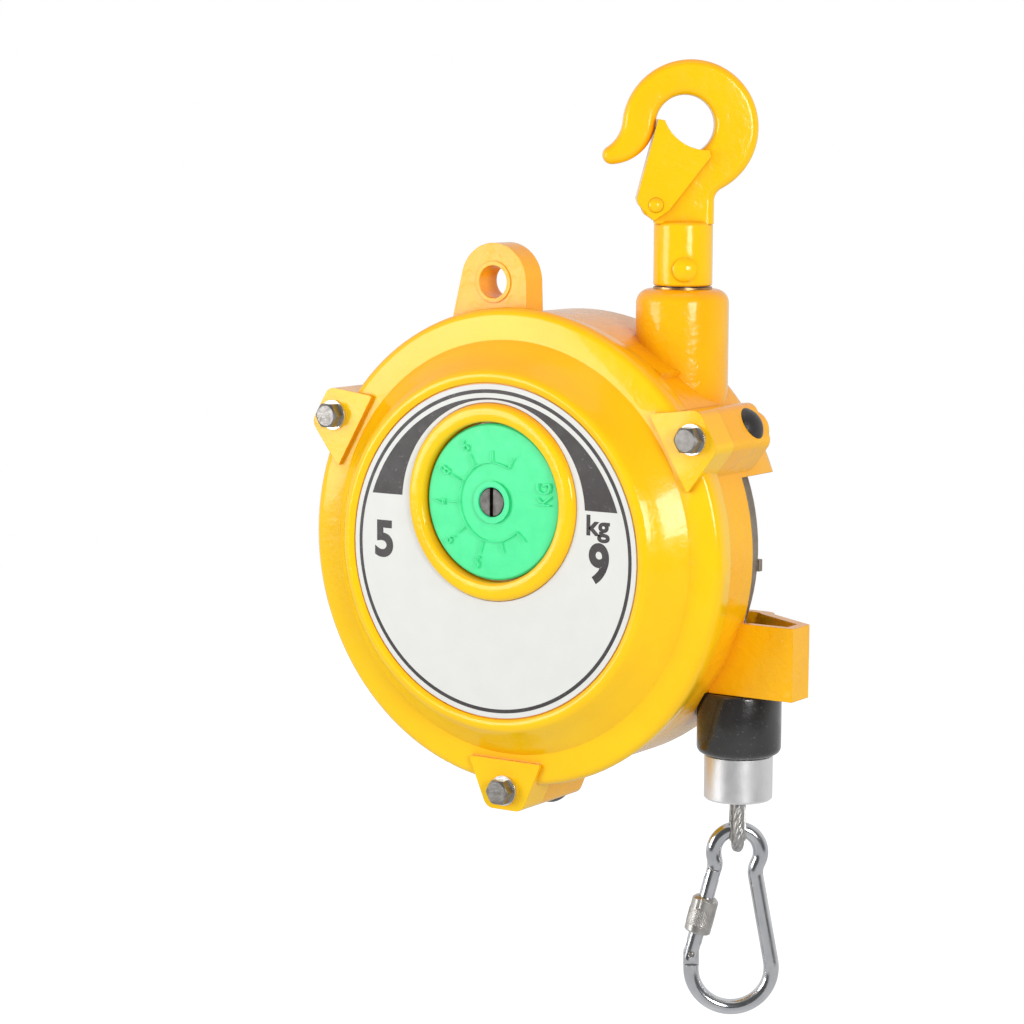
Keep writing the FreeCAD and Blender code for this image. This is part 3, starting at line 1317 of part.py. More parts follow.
def cross_pin():
    """Pin through socket and stem with a domed head; its axis is the local z axis."""
    body = new_body("hook_cross_pin", (0, 0, -d.cross_pin_drop), facing_turned())
    drawing = sketch(body, "XZ", 0, "PinProfile")
    r, reach = d.cross_pin_radius, d.socket_radius
    outline(drawing, [
        (0, -reach), (r - 0.5, -reach), (r, 0.5 - reach), (r, reach + 0.1), (r + 1, reach + 0.1),
        (r + 1, reach + 0.6), (TOP_FLAT, reach + 2.2, 9.0, 1), (0, reach + 2.2)])
    revolve(body, drawing)
    return body


def swivel_washer():
    top = boss_top_height()
    return turned_piece("swivel_washer", (0, 0, 0), None, [
        (d.stem_radius + d.running_gap, top), (d.socket_radius, top),
        (d.socket_radius, top + d.washer_disc),
        (d.stem_radius + d.running_gap, top + d.washer_disc)])


def thrust_bearing():
    """Thrust bearing under the boss's roof: two rings and the cage between them."""
    foot, _ = swivel_nut_heights()
    top = foot + d.thrust_bearing
    inner = d.stem_radius + d.running_gap
    outer = d.thrust_chamber - 0.6
    return turned_piece("thrust_bearing", (0, 0, 0), None, [
        (inner, foot), (outer, foot), (outer, foot + 2), (outer - 0.9, foot + 2),
        (outer - 0.9, top - 2), (outer, top - 2), (outer, top), (inner, top)])


def swivel_nut():
    top, foot = swivel_nut_heights()
    body = new_body("swivel_nut", (0, 0, foot))
    drawing = sketch(body, "XY", 0, "NutSketch")
    hexagon(drawing, 0, 0, d.nut_across_flats)
    circle(drawing, 0, 0, d.nut_seat + d.seat_gap)
    extrude(body, drawing, top - foot)
    return body


# ---------------------------------------------------------------- safety latch
LATCH_PIVOT = (d.pivot_across * cosine(d.hook_turn), d.pivot_across * sine(d.hook_turn),
               -d.pivot_drop)


def hook_latch():
    """Sheet latch: two cheeks beside the hook and the web that closes its throat."""
    body = new_body("hook_latch", LATCH_PIVOT, facing_turned())
    inner = d.hook_thickness / 2 + 0.4
    corners = [(-12.8, -51.9), (-6.2, -47.2), (10.6, -25.2), (9.9, -22.6),
               (-8.6, -10.5, 18.8, -1), (-11.5, -10), (-12.9, -16), (-19.9, -42.8),
               (-19.1, -45.2)]
    points = [(p[0] - d.pivot_across, p[1] + d.pivot_drop) + p[2:] for p in corners]
    drawing = sketch(body, "XY", 0, "CheekSketch")
    outline(drawing, points)
    extrude(body, drawing, 2 * (inner + d.latch_sheet), both=True)
    room = sketch(body, "XY", 0, "ChannelSketch")
    sheet = d.latch_sheet
    top, foot = points[6], points[7]
    outline(room, [(top[0] + sheet, 40), (top[0] + sheet, top[1]),
                   (foot[0] + sheet, foot[1]), (foot[0] + sheet, -12), (30, -12), (30, 40)])
    pocket(body, room, 2 * inner, both=True)
    bore = sketch(body, "XY", 0, "PinBoreSketch")
    circle(bore, 0, 0, d.latch_pin_radius + d.running_gap)
    pocket(body, bore, 2 * inner + 8, both=True)
    return body


def latch_pin():
    """Rivet that the latch turns on; its axis is the local z axis."""
    body = new_body("latch_pin", LATCH_PIVOT, facing_turned())
    drawing = sketch(body, "XZ", 0, "PinProfile")
    r = d.latch_pin_radius
    side = d.hook_thickness / 2 + 0.4 + d.latch_sheet + 0.1
    head = side + 1.4
    outline(drawing, [
        (0, -head), (TOP_FLAT, -head), (r + 1, -side, 4.4, 1), (r, -side), (r, side),
        (r + 1, side), (TOP_FLAT, head, 4.4, 1), (0, head)])
    revolve(body, drawing)
    return body


def latch_spring():
    """Close-wound spring on the latch pin with one leg behind the latch's web."""
    body = new_body("latch_spring", LATCH_PIVOT, facing_turned())
    wire, turns = as_size(0.5), 4
    inner = d.latch_pin_radius + 0.3
    drawing = sketch(body, "XZ", 0, "CoilProfile")
    start = -wire * turns
    profile = [(inner, -start), (inner, start)]
    for k in range(turns):
        base = start + 2 * wire * k
        profile += [(inner + 1.5 * wire, base), (inner + 2 * wire, base + wire)]
    profile.append((inner + 1.5 * wire, -start))
    outline(drawing, profile)
    revolve(body, drawing)
    leg = sketch(body, "XZ", 0, "LegSketch")
    circle(leg, -inner - wire, -wire * (turns - 1), wire * 0.9)
    extrude(body, leg, as_size(5.8), down=True)
    return body


# ---------------------------------------------------------------- carabiner
def hanging(across, up):
    """A point of the carabiner's own plane in the row frame."""
    return (ROPE_AXIS[0] + across * cosine(d.hook_turn), across * sine(d.hook_turn),
            ROPE_AXIS[2] + up)


PINCH = as_size(9)
RING_CENTRE = (as_size(0), d.wire_hang - d.ring_radius)
BOW_CENTRE = (-d.bow_shift, RING_CENTRE[1] - d.bow_drop)
HINGE = (BOW_CENTRE[0] - d.bow_radius, BOW_CENTRE[1] + 6.5)


def pinch_centre(angle):
    across, up = polar(d.ring_radius + PINCH, angle)
    return RING_CENTRE[0] + across, RING_CENTRE[1] + up


NOSE_PINCH = pinch_centre(195)
_, NOSE, GATE_ANGLE = tangent_run(HINGE, 0, NOSE_PINCH, PINCH)


def carabiner_body():
    """Bent wire from the gate's hinge round the large bow and the small ring to the nose."""
    body = new_body("carabiner_body", ROPE_AXIS, facing_turned())
    back_pinch = pinch_centre(-27)
    leg_foot, leg_top, leg_angle = tangent_run(BOW_CENTRE, d.bow_radius, back_pinch, -PINCH)
    start = (HINGE[0], HINGE[1] - 5)
    leave = leg_angle - 90
    bow = arc_through(BOW_CENTRE, d.bow_radius, (180, 270, leave), 1)
    ring = arc_through(RING_CENTRE, d.ring_radius, (-27, 84, 195), 1)
    points = [start, bow[0], bow[1], bow[2], leg_top, ring[0] + (PINCH, -1), ring[1], ring[2],
              NOSE + (PINCH, -1)]
    wire_along(body, "XY", points, (start[0], start[1], as_size(0)), d.wire_radius)

    # flat tongue and round eye at the hinge
    tongue = sketch(body, "XY", 0, "TongueSketch")
    r = d.wire_radius
    outline(tongue, [(HINGE[0] - r, start[1] - 0.5), (HINGE[0] + r, start[1] - 0.5),
                     (HINGE[0] + r, HINGE[1]), (HINGE[0], HINGE[1] + r, r, 1),
                     (HINGE[0] - r, HINGE[1], r, 1)])
    extrude(body, tongue, d.tongue, both=True)
    eye = sketch(body, "XY", 0, "GatePinSketch")
    circle(eye, HINGE[0], HINGE[1], d.gate_pin + d.running_gap)
    pocket(body, eye, 4 * r, both=True)

    # flat tongue below the nose, which the slotted end of the gate closes over
    along = (cosine(GATE_ANGLE), sine(GATE_ANGLE))
    nose = sketch(body, "XY", 0, "NoseSketch")
    half = root(r * r - d.tongue * d.tongue / 4)    # a flat cut from round wire is a chord wide
    reach, bevel = d.nose_tongue, d.nose_bevel
    corners = ((0.5, half), (0.5, -half), (bevel - reach, -half), (-reach, bevel - half),
               (-reach, half - bevel), (bevel - reach, half))
    outline(nose, [(NOSE[0] + run * along[0] - side * along[1],
                    NOSE[1] + run * along[1] + side * along[0]) for run, side in corners])
    extrude(body, nose, d.tongue, both=True)
    return body


def on_gate(label):
    """A body in the gate's frame: origin on the hinge, local y along the gate."""
    turn = facing_turned() * Rotation(Vector(0, 0, 1), float(GATE_ANGLE) - 90)
    return new_body(label, hanging(*HINGE), turn)


def gate_length():
    across, up = NOSE[0] - HINGE[0], NOSE[1] - HINGE[1]
    return root(across * across + up * up)


def carabiner_gate():
    """Straight gate: forked over the hinge tongue below, slotted for the nose above."""
    body = on_gate("carabiner_gate")
    r = d.wire_radius
    top = gate_length() - d.side_gap
    drawing = sketch(body, "XY", 0, "GateProfile")
    outline(drawing, [(0, -r), (r, -r), (r, top - 0.4), (r - 0.4, top), (0, top)])
    revolve(body, drawing)
    room = (d.tongue + 0.3) / 2
    slots = sketch(body, "YZ", 0, "SlotSketch")
    outline(slots, [(-r - 1, -room), (r + 1.5, -room), (r + 1.5, room), (-r - 1, room)])
    outline(slots, [(top - 4.3, -room), (top + 1, -room), (top + 1, room), (top - 4.3, room)])
    pocket(body, slots, 4 * r, both=True)
    corners = sketch(body, "XY", 0, "FootRoundSketch")
    outline(corners, [(-r - 1, 0), (-r - 1, -r - 1), (r + 1, -r - 1), (r + 1, 0), (r, 0),
                      (0, -r, r, -1), (-r, 0, r, -1)])
    pocket(body, corners, 4 * r, both=True)
    pin = sketch(body, "XY", 0, "GatePinSketch")
    circle(pin, 0, 0, d.gate_pin + d.seat_gap)
    pocket(body, pin, 4 * r, both=True)
    return body


def gate_pin():
    body = on_gate("gate_pin")
    drawing = sketch(body, "XZ", 0, "PinProfile")
    r, reach = d.gate_pin, d.wire_radius - 0.2
    head = reach + 0.5
    outline(drawing, [(0, -head), (TOP_FLAT, -head), (r, -reach, 2.6, 1), (r, reach),
                      (TOP_FLAT, head, 2.6, 1), (0, head)])
    revolve(body, drawing)
    return body


def screw_sleeve():
    """Ribbed sleeve that screws up the gate and over the nose joint."""
    body = on_gate("screw_sleeve")
    top = gate_length() - 12.8
    foot = top - d.screw_length
    r, bore = d.screw_radius, d.wire_radius + 2 * d.running_gap
    drawing = sketch(body, "XY", 0, "SleeveProfile")
    outline(drawing, [
        (bore, foot), (r - 0.5, foot), (r, foot + 0.5), (r, foot + 3), (r - 0.5, foot + 3.4),
        (r - 0.5, foot + 4.4), (r, foot + 4.8), (r, top - d.screw_bevel),
        (r - d.screw_bevel, top), (bore, top)])
    revolve(body, drawing)
    notch = sketch(body, "XZ", -top - 1, "RibSketch")
    for k in range(3):
        x, z = polar(r + 0.35, 120 * k)
        circle(notch, x, z, 1.15)
    pocket(body, notch, 6.5 + 1, along=True)
    return body


# ---------------------------------------------------------------- fasteners
def part_object(kind, name, **sizes):
    thing = doc.addObject(kind, name)
    for prop, size in sizes.items():
        if isinstance(size, int):
            setattr(thing, prop, size)
        else:
            bind(thing, prop, size)
    return thing


def group(label, solids, at=HOUSING_AXIS):
    """Identical separate solids under one name."""
    result = doc.addObject("Part::Compound", label)
    result.Label = label
    result.Links = solids
    place(result, at, facing_front())
    subparts.append(result)
    return result


def lug_bolts():
    """M6 hexagon bolts with their heads in front of the lugs."""
    bolts = []
    seat = d.lug_front - d.washer_sheet
    corner = d.bolt_across_flats / math.sqrt(3)
    for k in range(3):
        x, y = polar(d.bolt_circle, d.lug_first + 120 * k)
        head = part_object("Part::Prism", "BoltHead%d" % k, Polygon=6, Circumradius=corner,
                           Height=d.bolt_head)
        place(head, (x, y, -seat))
        shank = part_object("Part::Cylinder", "BoltShank%d" % k, Radius=d.bolt_radius,
                            Height=d.bolt_length)
        place(shank, (x, y, -seat - d.bolt_length))
        crown = part_object("Part::Cone", "BoltCrown%d" % k, Radius1=corner + 0.6,
                            Radius2=corner - 1.4, Height=1.4)
        crown_body = part_object("Part::Cylinder", "BoltSkirt%d" % k, Radius=corner + 0.6,
                                 Height=d.bolt_head - 1.4)
        place(crown_body, (x, y, -seat))
        place(crown, (x, y, -seat + d.bolt_head - 1.4))
        turned = doc.addObject("Part::Fuse", "BoltTurned%d" % k)
        turned.Base, turned.Tool = crown_body, crown
        hexagon_head = doc.addObject("Part::Common", "BoltHex%d" % k)
        hexagon_head.Base, hexagon_head.Tool = head, turned
        bolt = doc.addObject("Part::Fuse", "Bolt%d" % k)
        bolt.Base, bolt.Tool = hexagon_head, shank
        bolts.append(bolt)
    return group("lug_bolts", bolts)


def lug_washers():
    washers = []
    for k in range(3):
        x, y = polar(d.bolt_circle, d.lug_first + 120 * k)
        disc = part_object("Part::Cylinder", "WasherDisc%d" % k, Radius=d.washer_radius,
                           Height=d.washer_sheet)
        hole = part_object("Part::Cylinder", "WasherHole%d" % k, Radius=d.bolt_radius + 0.2,
                           Height=d.washer_sheet + 2)
        place(disc, (x, y, -d.lug_front))
        place(hole, (x, y, -d.lug_front - 1))
        washer = doc.addObject("Part::Cut", "Washer%d" % k)
        washer.Base, washer.Tool = disc, hole
        washers.append(washer)
    return group("lug_washers", washers)


def lug_plugs():
    """Domed plugs on the outer flats of the lugs."""
    plugs = []
    rise = d.plug_rise
    ball = (d.plug_radius * d.plug_radius + rise * rise) / (2 * rise)
    for k in range(3):
        angle = float(d.lug_first) + 120 * k
        dome = part_object("Part::Sphere", "PlugBall%d" % k, Radius=ball)
        face = part_object("Part::Cylinder", "PlugFace%d" % k, Radius=d.plug_radius, Height=rise)
        stem = part_object("Part::Cylinder", "PlugStem%d" % k, Radius=d.plug_stem,
                           Height=d.plug_stem_length + 0.5)
        place(dome, (0, 0, rise - ball))
        place(stem, (0, 0, -d.plug_stem_length))
        cap = doc.addObject("Part::Common", "PlugCap%d" % k)
        cap.Base, cap.Tool = face, dome
        plug = doc.addObject("Part::Fuse", "Plug%d" % k)
        plug.Base, plug.Tool = cap, stem
        x, y = polar(d.lug_reach + d.seat_gap, angle)
        place(plug, (x, y, -d.plug_depth),
              Rotation(Vector(0, 0, 1), angle) * Rotation(Vector(0, 1, 0), 90))
        plugs.append(plug)
    return group("lug_plugs", plugs)


def lid_screws():
    """Cheese-head screws of the spring cover."""
    screws = []
    for k in range(6):
        x, y = lid_screw_place(k)
        head = part_object("Part::Cylinder", "ScrewHead%d" % k, Radius=d.screw_head,
                           Height=d.screw_sink)
        shank = part_object("Part::Cylinder", "ScrewShank%d" % k, Radius=d.screw_shank,
                            Height=d.screw_reach)
        place(head, (x, y, -d.drum_front - d.screw_sink))
        place(shank, (x, y, -d.drum_front - d.screw_reach))
        screw = doc.addObject("Part::Fuse", "Screw%d" % k)
        screw.Base, screw.Tool = head, shank
        screws.append(screw)
    return group("spring_cover_screws", screws)


def main():
    front_cover()
    rear_housing()
    label_plate()
    tension_dial()
    dial_shaft()
    gear_train()
    worm_shaft()
    arbor()
    arbor_bush()
    rope_drum()
    spring_cover()
    drum_bearing("front_drum_bearing", front_bearing_place())
    drum_bearing("rear_drum_bearing", rear_bearing_place())
    mainspring()
    wound_rope()
    guide_bush()
    rope_run()
    rubber_buffer()
    rope_sleeve()
    rope_tail()
    rope_loop()
    thimble()
    top_hook()
    swivel_stem()
    cross_pin()
    swivel_washer()
    thrust_bearing()
    swivel_nut()
    hook_latch()
    latch_pin()
    latch_spring()
    carabiner_body()
    carabiner_gate()
    gate_pin()
    screw_sleeve()
    lug_bolts()
    lug_washers()
    lug_plugs()
    lid_screws()


def finish():
    """Check every object, then write one STEP file per sub-part."""
    doc.recompute()
    for thing in doc.Objects:
        bad = [state for state in thing.State if state in ("Invalid", "Error")]
        if bad:
            raise RuntimeError("%s in %s failed" % (thing.Name, thing.Label))
    os.makedirs("parts", exist_ok=True)
    for body in subparts:
        shape = body.Shape
        if shape.isNull() or not shape.isValid():
            raise RuntimeError("%s has no valid shape" % body.Label)
        shape.exportStep("parts/%s.step" % body.Label)
        print("%-24s %2d solid %10.0f mm3" % (body.Label, len(shape.Solids), shape.Volume))


main()
finish()
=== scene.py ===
# %% [markdown]
# # A spring balancer in a studio
# A spring balancer carries the weight of a hand tool: a steel rope runs off a sprung drum inside a
# cast housing, and the tool hangs on the rope. The engineering model is already made, so this lesson
# dresses it: every casting, rope and screw gets a finish of its own, and the fine things that a
# casting drawing leaves out, such as print, knurls and rope strands, are modelled here.
#
# The model is loaded as a fixed frame. Its nodes are never moved or reshaped; they take materials
# and modifiers, and new pieces are placed from the boxes of the nodes.

# %% Load the frame
import json
from math import asin, cos, pi, radians, sin, sqrt, tau

import bmesh
import bpy
from mathutils import Matrix, Vector


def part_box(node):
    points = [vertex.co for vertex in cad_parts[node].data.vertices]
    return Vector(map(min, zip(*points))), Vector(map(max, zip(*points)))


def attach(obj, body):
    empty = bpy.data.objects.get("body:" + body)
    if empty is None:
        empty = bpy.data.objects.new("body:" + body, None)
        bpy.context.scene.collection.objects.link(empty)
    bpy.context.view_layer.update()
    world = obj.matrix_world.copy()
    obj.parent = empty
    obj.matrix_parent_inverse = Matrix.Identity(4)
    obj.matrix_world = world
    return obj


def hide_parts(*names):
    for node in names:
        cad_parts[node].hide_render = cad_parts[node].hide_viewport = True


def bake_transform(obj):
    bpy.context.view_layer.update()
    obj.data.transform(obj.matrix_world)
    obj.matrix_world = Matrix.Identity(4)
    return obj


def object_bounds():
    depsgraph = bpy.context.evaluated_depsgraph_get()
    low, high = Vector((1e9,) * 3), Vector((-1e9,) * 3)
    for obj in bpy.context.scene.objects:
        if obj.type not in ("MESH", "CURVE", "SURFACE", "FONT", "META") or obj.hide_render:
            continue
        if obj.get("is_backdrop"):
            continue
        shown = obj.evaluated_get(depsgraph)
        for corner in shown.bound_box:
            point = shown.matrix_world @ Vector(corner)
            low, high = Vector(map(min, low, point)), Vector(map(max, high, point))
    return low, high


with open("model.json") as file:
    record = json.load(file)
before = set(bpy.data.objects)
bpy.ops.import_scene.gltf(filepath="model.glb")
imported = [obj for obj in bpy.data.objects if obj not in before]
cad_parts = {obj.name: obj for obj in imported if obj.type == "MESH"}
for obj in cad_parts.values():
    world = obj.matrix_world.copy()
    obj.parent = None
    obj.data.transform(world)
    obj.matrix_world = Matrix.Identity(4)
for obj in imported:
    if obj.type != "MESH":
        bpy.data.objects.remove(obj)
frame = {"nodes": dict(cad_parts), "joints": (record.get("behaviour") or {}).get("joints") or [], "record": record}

MM = 0.001
scene = bpy.context.scene
cad_low, cad_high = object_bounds()
print("nodes:", len(frame["nodes"]), "size in mm:", [round(side / MM, 1) for side in cad_high - cad_low])

# %% [markdown]
# ## The camera
# A long lens from a distance keeps the round housing round and the hook in proportion. The camera is
# described by how far round the object it stands, how high, how far away, and where the dial face
# sits in the view. A matrix built from the three directions right, up and back does this exactly,
# with no tracking constraint to fight.

# %% Camera
label_low, label_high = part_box("label_plate")
label_middle = Vector(((label_low.x + label_high.x) / 2, label_low.y, (label_low.z + label_high.z) / 2))

CAMERA_ROUND, CAMERA_HEIGHT, CAMERA_ROLL = radians(33.13), radians(7.21), radians(0.34)
CAMERA_DISTANCE = 1.2475
SENSOR, LENS = 36.0, 105.47
LABEL_LEFT, LABEL_DOWN = 0.0068, 0.01333  # where the label stands in the view, per metre of distance

back = Vector((sin(CAMERA_ROUND) * cos(CAMERA_HEIGHT),
               -cos(CAMERA_ROUND) * cos(CAMERA_HEIGHT), sin(CAMERA_HEIGHT)))
level = Vector((cos(CAMERA_ROUND), sin(CAMERA_ROUND), 0))
upright = back.cross(level)
right = level * cos(CAMERA_ROLL) + upright * sin(CAMERA_ROLL)
up = upright * cos(CAMERA_ROLL) - level * sin(CAMERA_ROLL)

camera_data = bpy.data.cameras.new("studio_camera")
camera_data.lens, camera_data.sensor_width = LENS, SENSOR
camera_data.clip_start, camera_data.clip_end = 0.05, 60
camera = bpy.data.objects.new("studio_camera", camera_data)
scene.collection.objects.link(camera)
stand = label_middle + (back + right * LABEL_LEFT + up * LABEL_DOWN) * CAMERA_DISTANCE
camera.matrix_world = Matrix((right, up, back)).transposed().to_4x4()
camera.location = stand
scene.camera = camera
print("camera stands at", [round(value, 3) for value in stand])

# %% [markdown]
# ## Floor, background and lamps
# The balancer hangs in the air over a pale studio floor. The background has to be clean white
# without pouring more light on the object, so the world is white only for what the camera sees
# directly or through something clear. Mirror reflections see a grey room that is darkest behind the
# camera, and everything else gets a soft, plain light. Three soft lamps add direction: a large one
# from the front left, a smaller one from the front right that draws the long highlights on the
# enamel, and a weak one from above. The floor lies deep enough for the load to hang free with all
# its rope drawn out.

# %% Node helper
def node(graph, kind, inputs=None, **settings):
    """A new shader node; an input that is given a socket is linked to it."""
    made = graph.nodes.new(kind)
    for name, value in settings.items():
        setattr(made, name, value)
    for name, value in (inputs or {}).items():
        if isinstance(value, bpy.types.NodeSocket):
            graph.links.new(value, made.inputs[name])
        else:
            made.inputs[name].default_value = value
    return made


def math(graph, operation, one, two=0.0):
    """One step of arithmetic on two values or sockets."""
    return node(graph, "ShaderNodeMath", {0: one, 1: two}, operation=operation).outputs[0]


def spread(graph, value, low, high, start=0.0, end=1.0):
    """Stretch the part of a value between low and high over start to end."""
    return node(graph, "ShaderNodeMapRange", {"Value": value, "From Min": low, "From Max": high,
                                              "To Min": start, "To Max": end}).outputs["Result"]


# %% World
SOFT_LIGHT = 0.70      # plain light from all round
world = bpy.data.worlds.new("studio_world")
scene.world = world
world.use_nodes = True
air = world.node_tree
air.nodes.clear()
path = node(air, "ShaderNodeLightPath")
direction = node(air, "ShaderNodeSeparateXYZ", {0: node(air, "ShaderNodeTexCoord").outputs["Generated"]})
# the room behind the camera is darker than the white sweep, which gives metal its dark streaks
towards_room = math(air, "ADD", math(air, "MULTIPLY", direction.outputs["X"], sin(CAMERA_ROUND)),
                    math(air, "MULTIPLY", direction.outputs["Y"], -cos(CAMERA_ROUND)))
room = spread(air, towards_room, -0.20, 0.60, 0.75, 0.10)
seen = math(air, "MAXIMUM", path.outputs["Is Camera Ray"], path.outputs["Is Transmission Ray"])
mirrored = math(air, "MULTIPLY", path.outputs["Is Glossy Ray"], room)
white = math(air, "MAXIMUM", seen, mirrored)
plain = math(air, "MULTIPLY", math(air, "SUBTRACT", 1.0, path.outputs["Is Glossy Ray"]), SOFT_LIGHT)
strength = math(air, "MAXIMUM", white, plain)
sky = node(air, "ShaderNodeBackground", {"Color": (1, 1, 1, 1), "Strength": strength})
node(air, "ShaderNodeOutputWorld", {"Surface": sky.outputs[0]})
print("world light", SOFT_LIGHT)

# %% Lamps
def soft_box(name, place, target, size, power):
    """A square soft lamp that faces a point of the object."""
    data = bpy.data.lights.new(name, "AREA")
    data.shape, data.size, data.energy = "SQUARE", size, power
    lamp = bpy.data.objects.new(name, data)
    scene.collection.objects.link(lamp)
    lamp.location = place
    lamp.rotation_mode = "QUATERNION"
    lamp.rotation_quaternion = (Vector(target) - Vector(place)).to_track_quat("-Z", "Y")
    return lamp


LAMPS = {   # place seen from the object's middle, side in metres, power in watts
    "key_right": ((1.15, -0.75, 0.30), 0.42, 8.5),
    "fill_left": ((-0.95, -1.15, 0.20), 0.7, 9.0),
    "top": ((0.1, -0.1, 1.3), 0.8, 1.2),
}
middle = (cad_low + cad_high) / 2
for name, (place, size, power) in LAMPS.items():
    soft_box(name, middle + Vector(place), middle, size, power)

# %% Floor
FLOOR_REACH, FLOOR_ROOM = 9, 0.12     # half its side, and the room below the load at its lowest
joint_records = frame["record"]["behaviour"]["joints"]
cable_joint = next(joint for joint in joint_records if joint["name"] == "cable_travel")
floor_height = cad_low.z - cable_joint["range_m"][1] - FLOOR_ROOM
floor_mesh = bpy.data.meshes.new("studio_floor")
floor_corners = [(x * FLOOR_REACH, y * FLOOR_REACH, floor_height)
                 for x, y in ((-1, -1), (1, -1), (1, 1), (-1, 1))]
floor_mesh.from_pydata(floor_corners, [], [(0, 1, 2, 3)])
floor = bpy.data.objects.new("studio_floor", floor_mesh)
scene.collection.objects.link(floor)
floor_paint = bpy.data.materials.new("studio_floor_paint")
floor_paint.use_nodes = True
tree = floor_paint.node_tree
tree.nodes.clear()
matt = node(tree, "ShaderNodeBsdfDiffuse", {"Color": (0.82, 0.82, 0.82, 1)})
lift = math(tree, "MULTIPLY", node(tree, "ShaderNodeLightPath").outputs["Is Camera Ray"], 0.55)
glow = node(tree, "ShaderNodeEmission", {"Color": (1, 1, 1, 1), "Strength": lift})
both = node(tree, "ShaderNodeAddShader", {0: matt.outputs[0], 1: glow.outputs[0]})
node(tree, "ShaderNodeOutputMaterial", {"Surface": both.outputs[0]})
floor_mesh.materials.append(floor_paint)
floor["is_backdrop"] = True
scene.view_settings.view_transform = "Standard"
print("floor at", round(floor_height, 3))

# %% [markdown]
# ## Finishes
# A finish is more than a colour. Paint has orange peel, castings have grain below the paint, steel
# has fine scratches, and every edge is worn a little. All of it comes from small node helpers that
# work in metres on the object itself, so a grain of one millimetre is one millimetre on every part
# and nothing slides when the view changes.

# %% Helpers for finishes
def finish_graph(name):
    """A new material with one Principled shader, and its node graph."""
    material = bpy.data.materials.new(name)
    material.use_nodes = True
    graph = material.node_tree
    graph.nodes.clear()
    skin = node(graph, "ShaderNodeBsdfPrincipled")
    node(graph, "ShaderNodeOutputMaterial", {"Surface": skin.outputs[0]})
    return material, graph, skin


def where(graph):
    """The place of a point on the object, in metres."""
    return node(graph, "ShaderNodeTexCoord").outputs["Object"]


def grain(graph, size, detail=2.0, stretch=(1, 1, 1), distortion=0.0):
    """Cloudy noise whose blobs are about size across, drawn out by stretch."""
    place = node(graph, "ShaderNodeMapping", {"Vector": where(graph), "Scale": stretch}).outputs[0]
    return node(graph, "ShaderNodeTexNoise", {"Vector": place, "Scale": 1 / size, "Detail": detail,
                                              "Distortion": distortion}).outputs["Fac"]


def tint(graph, amount, one, two):
    """Mix two colours, each a plain colour or a socket."""
    mix = node(graph, "ShaderNodeMix", {"Factor": amount}, data_type="RGBA")
    for socket, colour in ((mix.inputs[6], one), (mix.inputs[7], two)):
        if isinstance(colour, bpy.types.NodeSocket):
            graph.links.new(colour, socket)
        else:
            socket.default_value = (*colour, 1)
    return mix.outputs[2]


def relief(graph, height, depth, below=None):
    """Raise the surface by depth metres where the height is 1."""
    bump = node(graph, "ShaderNodeBump", {"Height": height, "Strength": 1.0, "Distance": depth})
    if below is not None:
        graph.links.new(below, bump.inputs["Normal"])
    return bump.outputs[0]


def edge_mask(graph, width):
    """1 on sharp edges within width, 0 on flat faces."""
    rounded = node(graph, "ShaderNodeBevel", {"Radius": width}, samples=4).outputs[0]
    true = node(graph, "ShaderNodeNewGeometry").outputs["Normal"]
    same = node(graph, "ShaderNodeVectorMath", {0: rounded, 1: true}, operation="DOT_PRODUCT")
    return spread(graph, same.outputs["Value"], 0.995, 0.86)


# %% [markdown]
# ### Yellow enamel
# The castings are sprayed with glossy yellow enamel. Thick paint flows into a gentle orange peel and
# pulls thin on edges, and on the unmachined housing the sand-cast grain shows through it. The same
# recipe is used for the cover, the housing and the forged hook, with more or less of each. Shade is
# painted into the colour as a deeper orange: in crevices, on faces that look up, and over the whole
# housing. A fine bevel in the shader rounds every edge for the light, which no casting is without.

# %% Enamel
YELLOW = (0.98, 0.61, 0.006)
DEEP_YELLOW = (0.94, 0.46, 0.002)
# painted shade: the housing's yellows are a deeper orange than the cover's, though it wears the same enamel
HOUSING_SHADE_YELLOW, HOUSING_SHADE_DEEP = (0.97, 0.50, 0.004), (0.92, 0.35, 0.001)
HOOK_YELLOW = (0.98, 0.58, 0.004)
# painted shade: the deeper orange of crevices
CREVICE_SHADE_YELLOW = (0.84, 0.27, 0.001)
# painted shade: the deeper orange of faces that look up
UPWARD_SHADE_YELLOW = (0.90, 0.33, 0.001)
SPECK_YELLOW = (1.0, 0.66, 0.05)
WORN_EDGE = (0.55, 0.22, 0.01)


